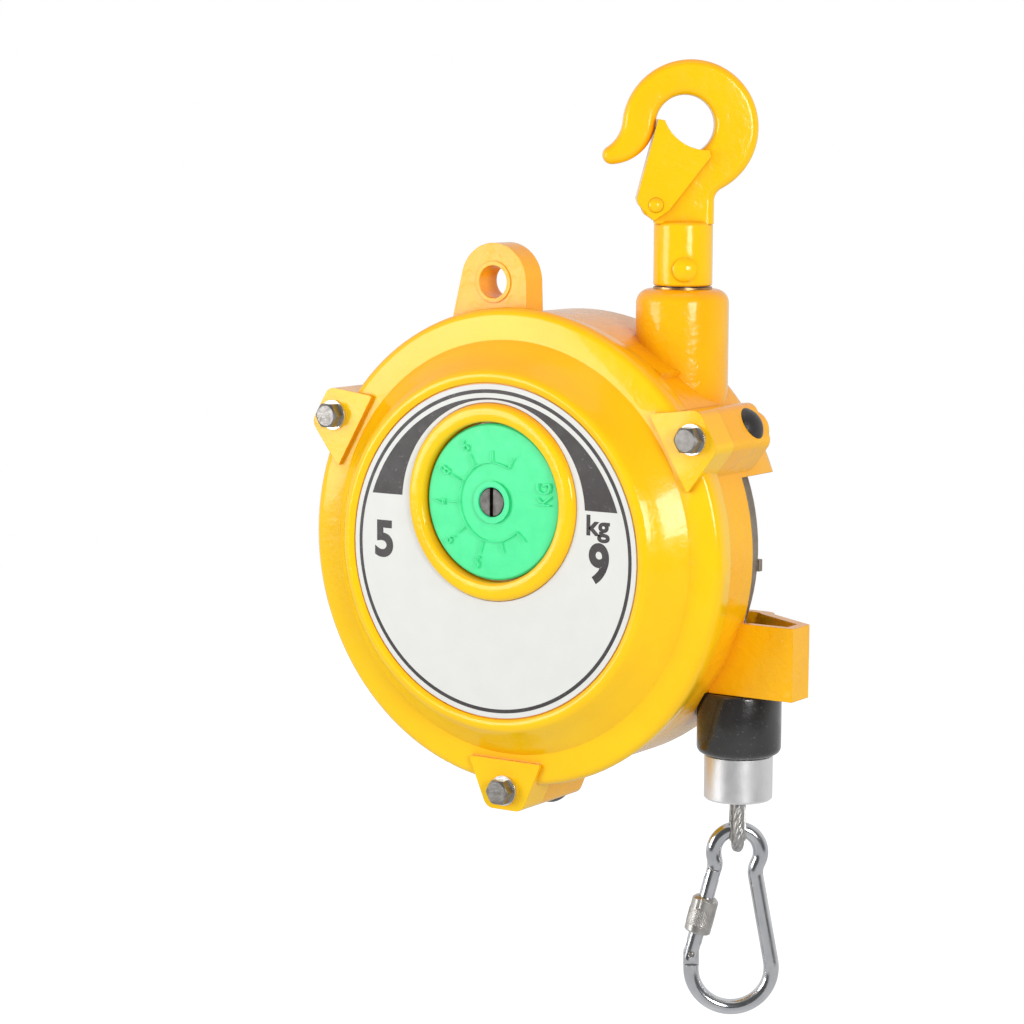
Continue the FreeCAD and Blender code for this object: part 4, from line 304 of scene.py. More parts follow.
def enamel(name, peel, cast, colour=YELLOW, deep=DEEP_YELLOW):
    """Glossy sprayed paint; peel and cast are the heights of the paint's and the casting's grain."""
    material, graph, skin = finish_graph(name)
    clouds = spread(graph, grain(graph, 28 * MM, 3), 0.35, 0.7)
    specks = spread(graph, grain(graph, 0.8 * MM, 2), 0.62, 0.75)
    # painted shade: the colour turns a deeper orange where ambient occlusion finds a crevice
    crevice = node(graph, "ShaderNodeAmbientOcclusion", {"Distance": 9 * MM}, samples=6).outputs["AO"]
    shade = spread(graph, crevice, 0.85, 0.35)
    colour_now = tint(graph, math(graph, "MULTIPLY", clouds, 0.35), colour, deep)
    colour_now = tint(graph, math(graph, "MULTIPLY", shade, 0.75), colour_now, CREVICE_SHADE_YELLOW)
    # painted shade: faces that look up are painted a deeper orange, as if less lit from above
    facing = node(graph, "ShaderNodeSeparateXYZ", {0: node(graph, "ShaderNodeNewGeometry").outputs["Normal"]})
    upward_shade = spread(graph, facing.outputs["Z"], 0.15, 0.85)
    colour_now = tint(graph, math(graph, "MULTIPLY", upward_shade, 0.8), colour_now, UPWARD_SHADE_YELLOW)
    colour_now = tint(graph, math(graph, "MULTIPLY", specks, 0.18), colour_now, SPECK_YELLOW)
    edges = edge_mask(graph, 0.5 * MM)
    edges = math(graph, "MULTIPLY", edges, spread(graph, grain(graph, 3 * MM, 3), 0.45, 0.7))
    colour_now = tint(graph, math(graph, "MULTIPLY", edges, 0.35), colour_now, WORN_EDGE)
    graph.links.new(colour_now, skin.inputs["Base Color"])
    rough = spread(graph, grain(graph, 6 * MM, 3), 0.3, 0.7, 0.13, 0.22)
    graph.links.new(rough, skin.inputs["Roughness"])
    soft_edge = node(graph, "ShaderNodeBevel", {"Radius": 0.6 * MM}, samples=4).outputs[0]
    lumps = relief(graph, grain(graph, 5.5 * MM, 4, distortion=0.4), cast, soft_edge)
    skin_bump = relief(graph, grain(graph, 1.6 * MM, 2), peel, lumps)
    graph.links.new(skin_bump, skin.inputs["Normal"])
    skin.inputs["Specular IOR Level"].default_value = 0.22
    skin.inputs["Coat Weight"].default_value = 0.28
    skin.inputs["Coat Roughness"].default_value = 0.04
    return material


cover_enamel = enamel("cover_enamel", 0.09 * MM, 0.16 * MM)
housing_enamel = enamel("housing_enamel", 0.12 * MM, 0.55 * MM, HOUSING_SHADE_YELLOW, HOUSING_SHADE_DEEP)
hook_enamel = enamel("hook_enamel", 0.06 * MM, 0.30 * MM, HOOK_YELLOW)
print("enamels made")

# %% [markdown]
# ### Metals
# Each metal keeps the mark of how it was made: the carabiner is polished and bright zinc plated, the
# washers are bright too, the bolts are dull zinc with a worn spangle, the sleeve shows the fine
# rings of the lathe, the drum is a raw sand casting, and the shafts and gears inside are oiled steel.
# One recipe serves them all, with a base colour, a second colour for its patches, a roughness range
# and the size of its grain.

# %% Metals
def metal(name, colour, patches, rough, patch_size, scratch=0.0, stretch=(1, 1, 1), pits=0.0, pit_size=1 * MM,
          edge=(0.8, 0.8, 0.8), edge_share=0.35):
    """Bare or plated metal with patches, scratches along one direction and pits."""
    material, graph, skin = finish_graph(name)
    skin.inputs["Metallic"].default_value = 1.0
    cloud = spread(graph, grain(graph, patch_size, 4), 0.3, 0.72)
    colour_now = tint(graph, cloud, colour, patches)
    edges = math(graph, "MULTIPLY", edge_mask(graph, 0.3 * MM), edge_share)
    colour_now = tint(graph, edges, colour_now, edge)
    graph.links.new(colour_now, skin.inputs["Base Color"])
    wear = grain(graph, patch_size * 0.6, 3)
    graph.links.new(spread(graph, wear, 0.3, 0.7, rough[0], rough[1]), skin.inputs["Roughness"])
    surface = node(graph, "ShaderNodeBevel", {"Radius": 0.25 * MM}, samples=4).outputs[0]
    if scratch:
        surface = relief(graph, grain(graph, 0.35 * MM, 2, stretch), scratch, surface)
    if pits:
        surface = relief(graph, spread(graph, grain(graph, pit_size, 3), 0.35, 0.6), pits, surface)
    graph.links.new(surface, skin.inputs["Normal"])
    return material


polished_zinc = metal("polished_zinc", (0.74, 0.75, 0.77), (0.60, 0.61, 0.64), (0.10, 0.20), 9 * MM,
                      scratch=0.004 * MM, edge=(0.9, 0.9, 0.9))
bright_zinc = metal("bright_zinc", (0.90, 0.91, 0.92), (0.80, 0.81, 0.82), (0.24, 0.36), 3 * MM,
                    scratch=0.006 * MM)
dull_zinc = metal("dull_zinc", (0.36, 0.345, 0.33), (0.22, 0.205, 0.19), (0.30, 0.48), 2.2 * MM,
                  scratch=0.01 * MM, pits=0.03 * MM, pit_size=0.7 * MM)
plated_nickel = metal("plated_nickel", (0.62, 0.60, 0.57), (0.45, 0.43, 0.41), (0.28, 0.42), 3 * MM,
                      scratch=0.01 * MM)
oiled_steel = metal("oiled_steel", (0.16, 0.155, 0.145), (0.08, 0.075, 0.07), (0.30, 0.45), 2.5 * MM,
                    scratch=0.012 * MM, edge=(0.4, 0.39, 0.37))
ground_steel = metal("ground_steel", (0.60, 0.60, 0.61), (0.48, 0.48, 0.50), (0.16, 0.28), 5 * MM,
                     scratch=0.006 * MM, stretch=(1, 8, 1))
blue_spring = metal("blue_spring", (0.20, 0.23, 0.30), (0.32, 0.30, 0.27), (0.22, 0.36), 12 * MM,
                    scratch=0.006 * MM, stretch=(1, 6, 1))
lathe_aluminium = metal("lathe_aluminium", (0.97, 0.97, 0.98), (0.90, 0.90, 0.91), (0.34, 0.44), 7 * MM,
                        scratch=0.03 * MM, stretch=(0.02, 0.02, 1))
sand_cast_aluminium = metal("sand_cast_aluminium", (0.46, 0.40, 0.33), (0.33, 0.29, 0.24), (0.50, 0.66),
                            6 * MM, pits=0.15 * MM, pit_size=1.1 * MM, edge=(0.6, 0.6, 0.6), edge_share=0.6)
bush_bronze = metal("bush_bronze", (0.62, 0.40, 0.17), (0.45, 0.28, 0.11), (0.28, 0.42), 4 * MM,
                    scratch=0.008 * MM, stretch=(1, 1, 6))
print("metals made")

# %% [markdown]
# ### Plastics, rubber and the label
# The dial is moulded in a bright mint green that lets a little light in, so it looks soft. The plugs
# and the buffer are black, but not the same black: moulded plastic is satin, rubber is deeper and
# shiny where hands have wiped it. The label is a printed film, flat and barely glossy.

# %% Plastics and rubber
def moulded(name, colour, second, rough, grain_size, height, depth_of_light=0.0, coat=0.0):
    """Moulded plastic, rubber or film with a fine skin."""
    material, graph, skin = finish_graph(name)
    clouds = spread(graph, grain(graph, grain_size * 14, 3), 0.3, 0.7)
    dust = spread(graph, grain(graph, grain_size * 1.5, 2), 0.64, 0.8)
    colour_now = tint(graph, clouds, colour, second)
    colour_now = tint(graph, math(graph, "MULTIPLY", dust, 0.12), colour_now, (0.75, 0.75, 0.75))
    graph.links.new(colour_now, skin.inputs["Base Color"])
    graph.links.new(spread(graph, grain(graph, grain_size * 5, 3), 0.3, 0.7, rough[0], rough[1]),
                    skin.inputs["Roughness"])
    soft_edge = node(graph, "ShaderNodeBevel", {"Radius": 0.35 * MM}, samples=4).outputs[0]
    graph.links.new(relief(graph, grain(graph, grain_size, 2), height, soft_edge), skin.inputs["Normal"])
    if depth_of_light:
        skin.inputs["Subsurface Weight"].default_value = 0.25
        skin.inputs["Subsurface Radius"].default_value = (depth_of_light, depth_of_light, depth_of_light)
        skin.inputs["Subsurface Scale"].default_value = 1.0
    skin.inputs["Coat Weight"].default_value = coat
    skin.inputs["Coat Roughness"].default_value = 0.12
    return material


mint_plastic = moulded("mint_plastic", (0.055, 0.84, 0.335), (0.043, 0.79, 0.30), (0.30, 0.42), 0.5 * MM,
                       0.012 * MM, depth_of_light=1.2 * MM)
black_plastic = moulded("black_plastic", (0.022, 0.019, 0.019), (0.035, 0.032, 0.031), (0.30, 0.45), 0.6 * MM,
                        0.03 * MM)
wiped_rubber = moulded("wiped_rubber", (0.016, 0.015, 0.015), (0.028, 0.027, 0.027), (0.14, 0.30), 0.9 * MM,
                       0.03 * MM, coat=0.6)
white_nylon = moulded("white_nylon", (0.78, 0.77, 0.72), (0.70, 0.69, 0.63), (0.35, 0.5), 0.6 * MM,
                      0.015 * MM)
label_film = moulded("label_film", (0.715, 0.72, 0.69), (0.69, 0.695, 0.665), (0.34, 0.44), 0.8 * MM,
                     0.004 * MM)
print_black = moulded("print_black", (0.030, 0.023, 0.024), (0.046, 0.038, 0.039), (0.34, 0.46), 0.8 * MM,
                      0.004 * MM)
print("plastics made")

# %% [markdown]
# ### Who wears what
# Each node of the frame carries the name of a part, so dressing the model is one plain list. The
# meshes come as fine flat facets; a small modifier welds them and shades them smooth wherever two
# faces meet at a shallow angle, and leaves real edges sharp.

# %% Dress the nodes
WARDROBE = {
    cover_enamel: ["front_cover"],
    housing_enamel: ["rear_housing"],
    hook_enamel: ["top_hook", "hook_latch", "hook_cross_pin", "latch_pin"],
    label_film: ["label_plate"],
    mint_plastic: ["tension_dial"],
    black_plastic: ["lug_plugs"],
    wiped_rubber: ["rubber_buffer"],
    white_nylon: ["rope_guide_bush"],
    polished_zinc: ["carabiner_body", "carabiner_gate"],
    plated_nickel: ["screw_sleeve", "rope_thimble"],
    bright_zinc: ["lug_washers"],
    dull_zinc: ["lug_bolts", "spring_cover_screws", "swivel_nut", "gate_pin"],
    oiled_steel: ["dial_shaft", "dial_gear", "arbor_pinion", "worm_shaft", "swivel_stem"],
    ground_steel: ["arbor", "front_drum_bearing", "rear_drum_bearing", "thrust_bearing", "wound_rope",
                   "rope_run", "rope_tail", "rope_loop"],
    blue_spring: ["mainspring", "latch_spring"],
    lathe_aluminium: ["rope_sleeve"],
    sand_cast_aluminium: ["rope_drum", "spring_cover"],
    bush_bronze: ["worm_wheel", "arbor_bush", "swivel_washer"],
}
dressed = []
for finish, names in WARDROBE.items():
    for name in names:
        for place in frame["nodes"][name].material_slots:
            place.material = finish
        dressed.append(name)
print("undressed nodes:", sorted(set(frame["nodes"]) - set(dressed)))

# %% Smooth turned faces
def smoothing_group(limit):
    """Geometry nodes that weld the facets and keep only edges sharper than limit."""
    group = bpy.data.node_groups.new("smooth_turned_faces", "GeometryNodeTree")
    group.interface.new_socket("Geometry", in_out="INPUT", socket_type="NodeSocketGeometry")
    group.interface.new_socket("Geometry", in_out="OUTPUT", socket_type="NodeSocketGeometry")
    start = node(group, "NodeGroupInput")
    drop = node(group, "GeometryNodeRemoveAttribute", {"Geometry": start.outputs[0], "Name": "custom_normal"})
    weld = node(group, "GeometryNodeMergeByDistance", {"Geometry": drop.outputs[0], "Distance": 0.004 * MM})
    faces = node(group, "GeometryNodeSetShadeSmooth", {"Geometry": weld.outputs[0], "Shade Smooth": True})
    clear = node(group, "GeometryNodeSetShadeSmooth", {"Geometry": faces.outputs[0], "Shade Smooth": True},
                 domain="EDGE")
    angle = node(group, "GeometryNodeInputMeshEdgeAngle").outputs[0]
    sharp = node(group, "FunctionNodeCompare", {0: angle, 1: limit}, operation="GREATER_THAN").outputs[0]
    edges = node(group, "GeometryNodeSetShadeSmooth", {"Geometry": clear.outputs[0], "Selection": sharp,
                                                       "Shade Smooth": False}, domain="EDGE")
    node(group, "NodeGroupOutput", {0: edges.outputs[0]})
    return group


smooth_turned_faces = smoothing_group(radians(33))
for thing in frame["nodes"].values():
    thing.modifiers.new("smooth_turned_faces", "NODES").node_group = smooth_turned_faces
print("smoothed", len(frame["nodes"]), "nodes")

# %% [markdown]
# ## Print on the label
# The scale label is printed in black: a thin ring near its rim, a crescent that swells towards both
# ends of the scale, and the two ends of the load range, 5 and 9 kg. Real ink has next to no height,
# but a film a few hundredths of a millimetre proud of the label survives every view and every
# export, and cannot flicker against the face below it.

# %% Flat pieces
INK = 0.04 * MM


def thickened(name, mesh, faces, thickness, finish):
    """Turn flat faces to the front and give them a thickness."""
    for face in faces:
        face.normal_update()
        if face.normal.y > 0:
            face.normal_flip()
    lifted = bmesh.ops.extrude_face_region(mesh, geom=faces)["geom"]
    corners = [v for v in lifted if isinstance(v, bmesh.types.BMVert)]
    bmesh.ops.translate(mesh, vec=(0, -thickness, 0), verts=corners)
    bmesh.ops.recalc_face_normals(mesh, faces=mesh.faces[:])
    return piece_from(name, mesh, finish)


def solid_from_outline(name, rings, front, thickness, finish):
    """A flat piece facing the front. Each ring is a closed list of (across, up); the first is the outside."""
    mesh = bmesh.new()
    for ring in rings:
        points = [mesh.verts.new((x, front, z)) for x, z in ring]
        for one, two in zip(points, points[1:] + points[:1]):
            mesh.edges.new((one, two))
    faces = bmesh.ops.triangle_fill(mesh, use_beauty=True, use_dissolve=False, edges=mesh.edges[:])["geom"]
    faces = [face for face in faces if isinstance(face, bmesh.types.BMFace)]
    return thickened(name, mesh, faces, thickness, finish)


def piece_from(name, mesh, finish, smooth=False):
    """Make an object of a bmesh and link it to the scene."""
    data = bpy.data.meshes.new(name)
    mesh.to_mesh(data)
    mesh.free()
    for face in data.polygons:
        face.use_smooth = smooth
    data.materials.append(finish)
    thing = bpy.data.objects.new(name, data)
    scene.collection.objects.link(thing)
    return thing


def round_points(centre, radius, first=0.0, last=360.0, count=144):
    """Points on an arc about centre, in degrees; a whole turn leaves out the doubled last point."""
    whole = abs(last - first) >= 360
    steps = count if whole else count + 1
    return [(centre[0] + radius * cos(radians(first + (last - first) * k / count)),
             centre[1] + radius * sin(radians(first + (last - first) * k / count))) for k in range(steps)]


# %% Ring and crescent
face_centre = (label_middle.x, label_middle.z)
dial_low, dial_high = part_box("tension_dial")
dial_centre = ((dial_low.x + dial_high.x) / 2, (dial_low.z + dial_high.z) / 2)

RING_OUTER, RING_WIDTH = 67.8 * MM, 1.55 * MM
ring = solid_from_outline("label_ring", [round_points(face_centre, RING_OUTER, count=240),
                                         round_points(face_centre, RING_OUTER - RING_WIDTH, count=240)],
                          label_low.y, INK, print_black)
CRESCENT_OUTER, CRESCENT_INNER, CRESCENT_FOOT = 64.3 * MM, 45.5 * MM, 20.7 * MM
inner_drop = 2.8 * MM   # the inner circle sits a little lower than the dial
inner_centre = (dial_centre[0], dial_centre[1] - inner_drop)
foot_height = face_centre[1] + CRESCENT_FOOT
outer_end = asin(CRESCENT_FOOT / CRESCENT_OUTER) * 360 / tau
inner_end = asin((foot_height - inner_centre[1]) / CRESCENT_INNER) * 360 / tau
crescent = solid_from_outline(
    "label_crescent",
    [round_points(face_centre, CRESCENT_OUTER, outer_end, 180 - outer_end, 120)
     + round_points(inner_centre, CRESCENT_INNER, 180 - inner_end, inner_end, 120)],
    label_low.y, INK, print_black)
print("ring and crescent:", len(ring.data.vertices), len(crescent.data.vertices), "vertices")

# %% [markdown]
# ### Figures
# The figures start as Blender text, because a font already knows the shapes of figures. The text is
# turned to a mesh, given a little weight so that it reads as bold print, and fitted to its height.

# %% Figures
def figures(name, words, middle_across, middle_up, height, front, thickness, finish,
            width=1.0, weight=0.02, turn=0.0):
    """Words as a flat mesh that faces the front, fitted to a height and centred on a point."""
    text = bpy.data.curves.new(name, "FONT")
    text.body, text.size, text.offset, text.extrude = words, 1.0, weight, 0.0
    text.resolution_u = 8
    holder = bpy.data.objects.new(name, text)
    scene.collection.objects.link(holder)
    flat = bpy.data.meshes.new_from_object(holder.evaluated_get(bpy.context.evaluated_depsgraph_get()))
    bpy.data.objects.remove(holder)
    mesh = bmesh.new()
    mesh.from_mesh(flat)
    bmesh.ops.remove_doubles(mesh, verts=mesh.verts[:], dist=1e-5)
    low = [min(v.co[k] for v in mesh.verts) for k in (0, 1)]
    high = [max(v.co[k] for v in mesh.verts) for k in (0, 1)]
    scale = height / (high[1] - low[1])
    for v in mesh.verts:
        x = (v.co.x - (low[0] + high[0]) / 2) * scale * width
        z = (v.co.y - (low[1] + high[1]) / 2) * scale
        v.co = (middle_across + x * cos(turn) - z * sin(turn), front,
                middle_up + x * sin(turn) + z * cos(turn))
    return thickened(name, mesh, mesh.faces[:], thickness, finish)


LABEL_WORDS = {     # words, place across and up from the label's middle, height, width and weight
    "label_low_load": ("5", -54.9 * MM, 1.3 * MM, 16 * MM, 0.98, 0.035),
    "label_high_load": ("9", 52.3 * MM, -0.6 * MM, 17 * MM, 0.90, 0.035),
    "label_unit": ("kg", 51.8 * MM, 13.6 * MM, 11.2 * MM, 1.08, 0.03),
}
prints = [ring, crescent]
for name, (words, aside, above, height, width, weight) in LABEL_WORDS.items():
    prints.append(figures(name, words, face_centre[0] + aside, face_centre[1] + above, height,
                          label_low.y, INK, print_black, width, weight))
for thing in prints:
    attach(thing, "housing")
print("printed the label")

# %% [markdown]
# ## The dial's scale
# The dial is one moulding with its scale raised on the face: an open circle, ticks from it outwards,
# a figure at each of the five middle ticks, the unit, and a small collar round the slotted shaft. The
# marks have the colour of the dial itself and only show by their edges, so they are real relief,
# about two tenths of a millimetre high, and ride with the dial.

# %% Dial relief
RAISED = 0.22 * MM
dial_face = dial_low.y
SCALE_CIRCLE, SCALE_LINE = 16.6 * MM, 0.55 * MM
SCALE_TICKS = [(61, 21.9, False), (91, 21.6, False), (121, 22.8, True), (153, 23.2, True), (183, 22.6, True),
               (219, 22.4, True), (254, 22.6, True), (285, 21.6, False), (317, 22.6, False)]
FIGURE_CIRCLE, FIGURE_HEIGHT = 26.7 * MM, 5.4 * MM
UNIT_ACROSS, UNIT_UP, UNIT_HEIGHT = 25.4 * MM, 5 * MM, 7.0 * MM
COLLAR_RADIUS, COLLAR_RAISED = 8.9 * MM, RAISED * 1.4
first_tick, last_tick = SCALE_TICKS[0][0], SCALE_TICKS[-1][0]
marks = [solid_from_outline("dial_circle", [
    round_points(dial_centre, SCALE_CIRCLE + SCALE_LINE / 2, first_tick, last_tick, 120)
    + round_points(dial_centre, SCALE_CIRCLE - SCALE_LINE / 2, last_tick, first_tick, 120)],
    dial_face, RAISED, mint_plastic)]
for number, (angle, reach, long) in enumerate(SCALE_TICKS):
    turn = radians(angle)
    out = Vector((cos(turn), sin(turn)))
    side = Vector((-sin(turn), cos(turn))) * SCALE_LINE / 2
    near, far = out * SCALE_CIRCLE, out * reach * MM
    corners = [near - side, far - side, far + side, near + side]
    outline = [(dial_centre[0] + p.x, dial_centre[1] + p.y) for p in corners]
    marks.append(solid_from_outline("dial_tick_%d" % number, [outline], dial_face, RAISED, mint_plastic))
numbered = [angle for angle, reach, long in SCALE_TICKS if long]
for number, angle in enumerate(numbered):
    place = (dial_centre[0] + FIGURE_CIRCLE * cos(radians(angle)),
             dial_centre[1] + FIGURE_CIRCLE * sin(radians(angle)))
    marks.append(figures("dial_figure_%d" % number, str(9 - number), place[0], place[1], FIGURE_HEIGHT,
                         dial_face, RAISED, mint_plastic, 0.9, 0.0, radians(angle) + pi / 2))
marks.append(figures("dial_unit", "KG", dial_centre[0] + UNIT_ACROSS, dial_centre[1] + UNIT_UP, UNIT_HEIGHT,
                     dial_face, RAISED, mint_plastic, 0.75, 0.0, pi / 2))
shaft_low, shaft_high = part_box("dial_shaft")
collar_inner = (shaft_high.x - shaft_low.x) / 2 + 0.3 * MM
marks.append(solid_from_outline("dial_collar", [round_points(dial_centre, COLLAR_RADIUS, count=72),
                                                round_points(dial_centre, collar_inner, count=72)],
                                dial_face, COLLAR_RAISED, mint_plastic))
for thing in marks:
    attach(thing, "dial")
print("dial marks:", len(marks))

# %% [markdown]
# ## Steel rope
# Wire rope is six strands laid round a core. Sweeping a section with six lobes along the rope's line,
# and turning it a little at every step, gives the true outline of the rope and the slanting grooves
# between its strands from one closed mesh, where forty separate wires would cost far more.

# %% Rope by sweeping
STRANDS, LAY = 6, 26 * MM     # strands, and the length of one turn of a strand


def lobes(radius, count):
    """Section of the rope: points on six round strands about its middle."""
    strand = radius / 3
    ring_radius = radius - strand
    points = []
    for k in range(count):
        angle = tau * k / count
        from_strand = (angle * STRANDS / tau) % 1.0 - 0.5
        offset = from_strand * tau / STRANDS
        reach = ring_radius * cos(offset) + sqrt(max(strand ** 2 - (ring_radius * sin(offset)) ** 2, 0))
        points.append((angle, reach))
    return points


def sweep_rope(name, line, radius, finish, closed=False, count=36):
    """A laid rope along a line of close points."""
    mesh = bmesh.new()
    section = lobes(radius, count)
    points = [Vector(p) for p in line]
    side = None
    run = 0.0
    rings = []
    total = len(points)
    for k, point in enumerate(points):
        before = points[k - 1] if (k or closed) else point
        after = points[(k + 1) % total] if (k < total - 1 or closed) else point
        ahead = (after - before).normalized()
        if side is None:
            side = ahead.orthogonal().normalized()
        side = (side - ahead * side.dot(ahead)).normalized()
        other = ahead.cross(side)
        if k:
            run += (point - points[k - 1]).length
        twist = tau * run / LAY
        rings.append([mesh.verts.new(point + (side * cos(a + twist) + other * sin(a + twist)) * r)
                      for a, r in section])
    pairs = list(zip(rings, rings[1:]))
    if closed:
        pairs.append((rings[-1], rings[0]))
    for one, two in pairs:
        for k in range(count):
            mesh.faces.new((one[k], one[(k + 1) % count], two[(k + 1) % count], two[k]))
    if not closed:
        mesh.faces.new(list(reversed(rings[0])))
        mesh.faces.new(rings[-1])
    bmesh.ops.recalc_face_normals(mesh, faces=mesh.faces[:])
    return piece_from(name, mesh, finish, smooth=True)


rope_steel = metal("rope_steel", (0.62, 0.62, 0.62), (0.36, 0.35, 0.33), (0.26, 0.42), 1.5 * MM,
                   scratch=0.02 * MM, edge_share=0.1)
print("a strand turns once in", LAY / MM, "mm")

# %% [markdown]
# The straight run leaves the drum and ends in the buffer, and it grows longer when the load is pulled
# down. Its piece is swept along the line of the run's node, and the node itself is hidden.

# %% Straight run
run_low, run_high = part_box("rope_run")
rope_radius = (run_high.x - run_low.x) / 2
RUN_STEP, WRAP_STEP = 0.8 * MM, 1.6 * MM    # distance from one section of the rope to the next
rope_across, rope_deep = (run_low.x + run_high.x) / 2, (run_low.y + run_high.y) / 2
length = run_high.z - run_low.z
steps = int(length / RUN_STEP)
run_line = [(rope_across, rope_deep, run_high.z - length * k / steps) for k in range(steps + 1)]
rope_run = sweep_rope("stranded_run", run_line, rope_radius, rope_steel)
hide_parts("rope_run")
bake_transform(rope_run)
print("run of", round(length / MM, 1), "mm")

# %% [markdown]
# The wraps on the drum lie in its grooves. Each is a ring round the drum's axis, and the rearmost is
# open where the run leaves it. Their radii and depths are read from the node itself. The rope always
# leaves the drum at the same place, so the open wrap stays with the housing and the others turn.

# %% Wraps on the drum
def loose_parts(thing):
    """Boxes of the separate rings in a node, joined where they touch."""
    mesh = bmesh.new()
    mesh.from_mesh(thing.data)
    bmesh.ops.remove_doubles(mesh, verts=mesh.verts[:], dist=0.01 * MM)
    todo, parts = set(mesh.verts), []
    while todo:
        stack, found = [todo.pop()], []
        while stack:
            here = stack.pop()
            found.append(here.co.copy())
            for edge in here.link_edges:
                other = edge.other_vert(here)
                if other in todo:
                    todo.remove(other)
                    stack.append(other)
        parts.append(found)
    mesh.free()
    return parts


bearing_low, bearing_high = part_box("front_drum_bearing")
drum_middle = Vector(((bearing_low.x + bearing_high.x) / 2, 0, (bearing_low.z + bearing_high.z) / 2))
WRAP_OPENING = 22       # degrees that the rearmost wrap leaves open
WRAP_FIT = 0.985        # a wrap's radius, as a share of the straight run's
rings_in_node = sorted(loose_parts(frame["nodes"]["wound_rope"]),
                       key=lambda part: -sum(p.y for p in part) / len(part))
wraps = []
for number, points in enumerate(rings_in_node):
    deep = (min(p.y for p in points) + max(p.y for p in points)) / 2
    reach = max(sqrt((p.x - drum_middle.x) ** 2 + (p.z - drum_middle.z) ** 2) for p in points) - rope_radius
    rearmost = number == 0
    turn = 360 - (WRAP_OPENING if rearmost else 0)
    count = int(radians(turn) * reach / WRAP_STEP)
    line = [(drum_middle.x + reach * cos(radians(turn * k / count)), deep,
             drum_middle.z + reach * sin(radians(turn * k / count)))
            for k in range(count + (1 if rearmost else 0))]
    wraps.append(sweep_rope("rope_wrap_%d" % number, line, rope_radius * WRAP_FIT, rope_steel,
                            closed=not rearmost, count=24))
    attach(wraps[-1], "housing" if rearmost else "drum")
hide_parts("wound_rope")
print("wraps:", len(wraps))

# %% [markdown]
# Below the sleeve the rope turns back on itself round a steel thimble. The line of that eye is drawn
# from its real sizes: two upright legs side by side, a round bend, and straight runs between them.

# %% Rope eye
loop_low, loop_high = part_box("rope_loop")
EYE_TURN = radians(33.0)      # the eye lies across the carabiner
eye_side = Vector((sin(EYE_TURN), -cos(EYE_TURN), 0))
eye_middle = Vector(((loop_low.x + loop_high.x) / 2, (loop_low.y + loop_high.y) / 2, 0))
EYE_BEND, LEG_APART, EYE_LEAN, LEG_BEND = 7.5 * MM, 2.6 * MM, radians(16.5), 9.6 * MM
bend_centre = loop_low.z + rope_radius + EYE_BEND


def arc(centre, radius, first, last, count):
    """Points on an arc about centre, in radians."""
    return [(centre[0] + radius * cos(first + (last - first) * k / count),
             centre[1] + radius * sin(first + (last - first) * k / count)) for k in range(count + 1)]


across, rise = EYE_BEND * cos(EYE_LEAN), EYE_BEND * sin(EYE_LEAN)
run = (across - LEG_APART - LEG_BEND * (1 - cos(EYE_LEAN))) / sin(EYE_LEAN)
high = (across - run * sin(EYE_LEAN), rise + run * cos(EYE_LEAN))
leg_centre = (LEG_APART + LEG_BEND, high[1] + LEG_BEND * sin(EYE_LEAN))
half = arc((0, 0), EYE_BEND, -pi / 2, EYE_LEAN, 24)
half += [(across + (high[0] - across) * k / 14, rise + (high[1] - rise) * k / 14) for k in range(1, 15)]
half += arc(leg_centre, LEG_BEND, pi + EYE_LEAN, pi, 6)[1:]
top_of_leg = loop_high.z - bend_centre
half += [(LEG_APART, leg_centre[1] + (top_of_leg - leg_centre[1]) * k / 12) for k in range(1, 13)]
line = [(-a, b) for a, b in reversed(half)] + half[1:]
eye_line = [eye_middle + eye_side * a + Vector((0, 0, bend_centre + b)) for a, b in line]
rope_eye = sweep_rope("stranded_eye", eye_line, rope_radius, rope_steel)
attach(rope_eye, "load_end")
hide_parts("rope_loop")
print("rope eye of", len(eye_line), "points")

# %% [markdown]
# ## Knurl on the gate's sleeve
# Fingers turn this sleeve, so its middle is knurled: two sets of fine slanting grooves cross and
# leave small pyramids. The knurl is a tube just outside the sleeve whose radius follows the product
# of the two waves.

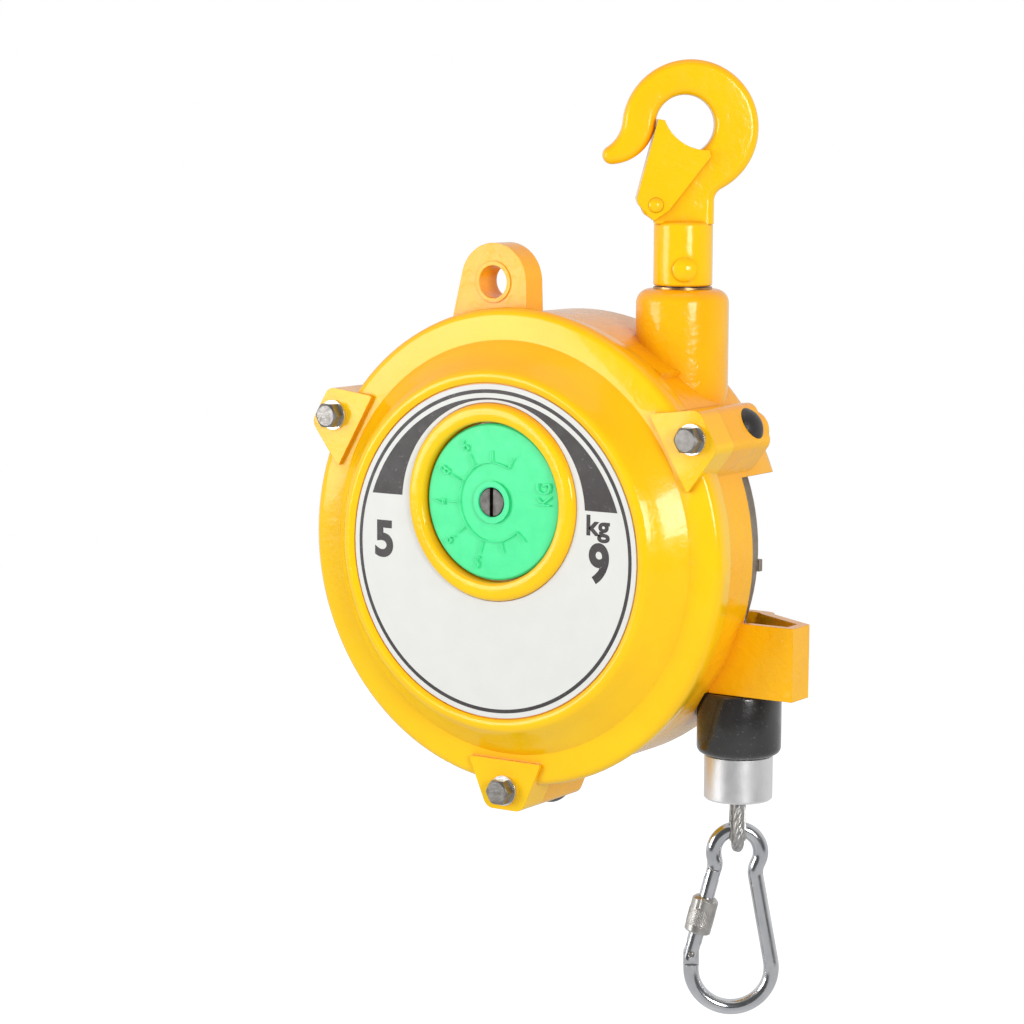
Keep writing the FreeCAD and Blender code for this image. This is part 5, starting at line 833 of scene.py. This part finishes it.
# %% Knurl
sleeve_low, sleeve_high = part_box("screw_sleeve")
sleeve_middle = (sleeve_low + sleeve_high) / 2
gate_joint = next(joint for joint in frame["joints"] if joint["name"] == "sleeve_travel")
gate_way = Vector(gate_joint["axis"]).normalized()
KNURL_RADIUS, KNURL_HEIGHT, KNURL_LENGTH, KNURL_TEETH = 5.62 * MM, 0.28 * MM, 7.6 * MM, 30
KNURL_WALL, KNURL_BACK = 0.6 * MM, 1.0 * MM     # its wall, and its place behind the sleeve's middle


def knurled_tube(name, middle, way, radius, height, length, teeth, finish):
    """A short tube with crossed grooves round the direction way."""
    one = way.orthogonal().normalized()
    two = way.cross(one)

    def spoke(angle):
        return one * cos(angle) + two * sin(angle)

    around, along = teeth * 6, int(length / (0.2 * MM))
    mesh = bmesh.new()
    rings = []
    for row in range(along + 1):
        height_here = -length / 2 + length * row / along
        ends = min(1.0, min(row, along - row) / 4)
        ring = []
        for k in range(around):
            angle = tau * k / around
            slope = height_here / radius
            wave = abs(sin((angle + slope) * teeth / 2)) * abs(sin((angle - slope) * teeth / 2))
            reach = radius - height * 0.5 + height * wave * ends
            ring.append(mesh.verts.new(middle + way * height_here + spoke(angle) * reach))
        rings.append(ring)
    inner = [[mesh.verts.new(middle + way * (side * length / 2)
                             + spoke(tau * k / around) * (radius - KNURL_WALL))
              for k in range(around)] for side in (-1, 1)]
    rings = [inner[0]] + rings + [inner[1]]
    for low, high in list(zip(rings, rings[1:])) + [(rings[-1], rings[0])]:
        for k in range(around):
            mesh.faces.new((low[k], low[(k + 1) % around], high[(k + 1) % around], high[k]))
    bmesh.ops.recalc_face_normals(mesh, faces=mesh.faces[:])
    return piece_from(name, mesh, finish, smooth=True)


knurl = knurled_tube("sleeve_knurl", sleeve_middle - gate_way * KNURL_BACK, gate_way, KNURL_RADIUS,
                     KNURL_HEIGHT, KNURL_LENGTH, KNURL_TEETH, plated_nickel)
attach(knurl, "gate_sleeve")
print("knurl of", len(knurl.data.polygons), "faces")

# %% [markdown]
# ## Measure
# The box of the dressed object is measured against the box of the bare frame, and how far the dressed
# object reaches beyond it on each side is printed.

# %% Measure and finish
low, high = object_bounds()
print("grown by, mm:", [round(max(a - b, 0) / MM, 2) for a, b in zip(cad_low, low)],
      [round(max(b - a, 0) / MM, 2) for a, b in zip(cad_high, high)])
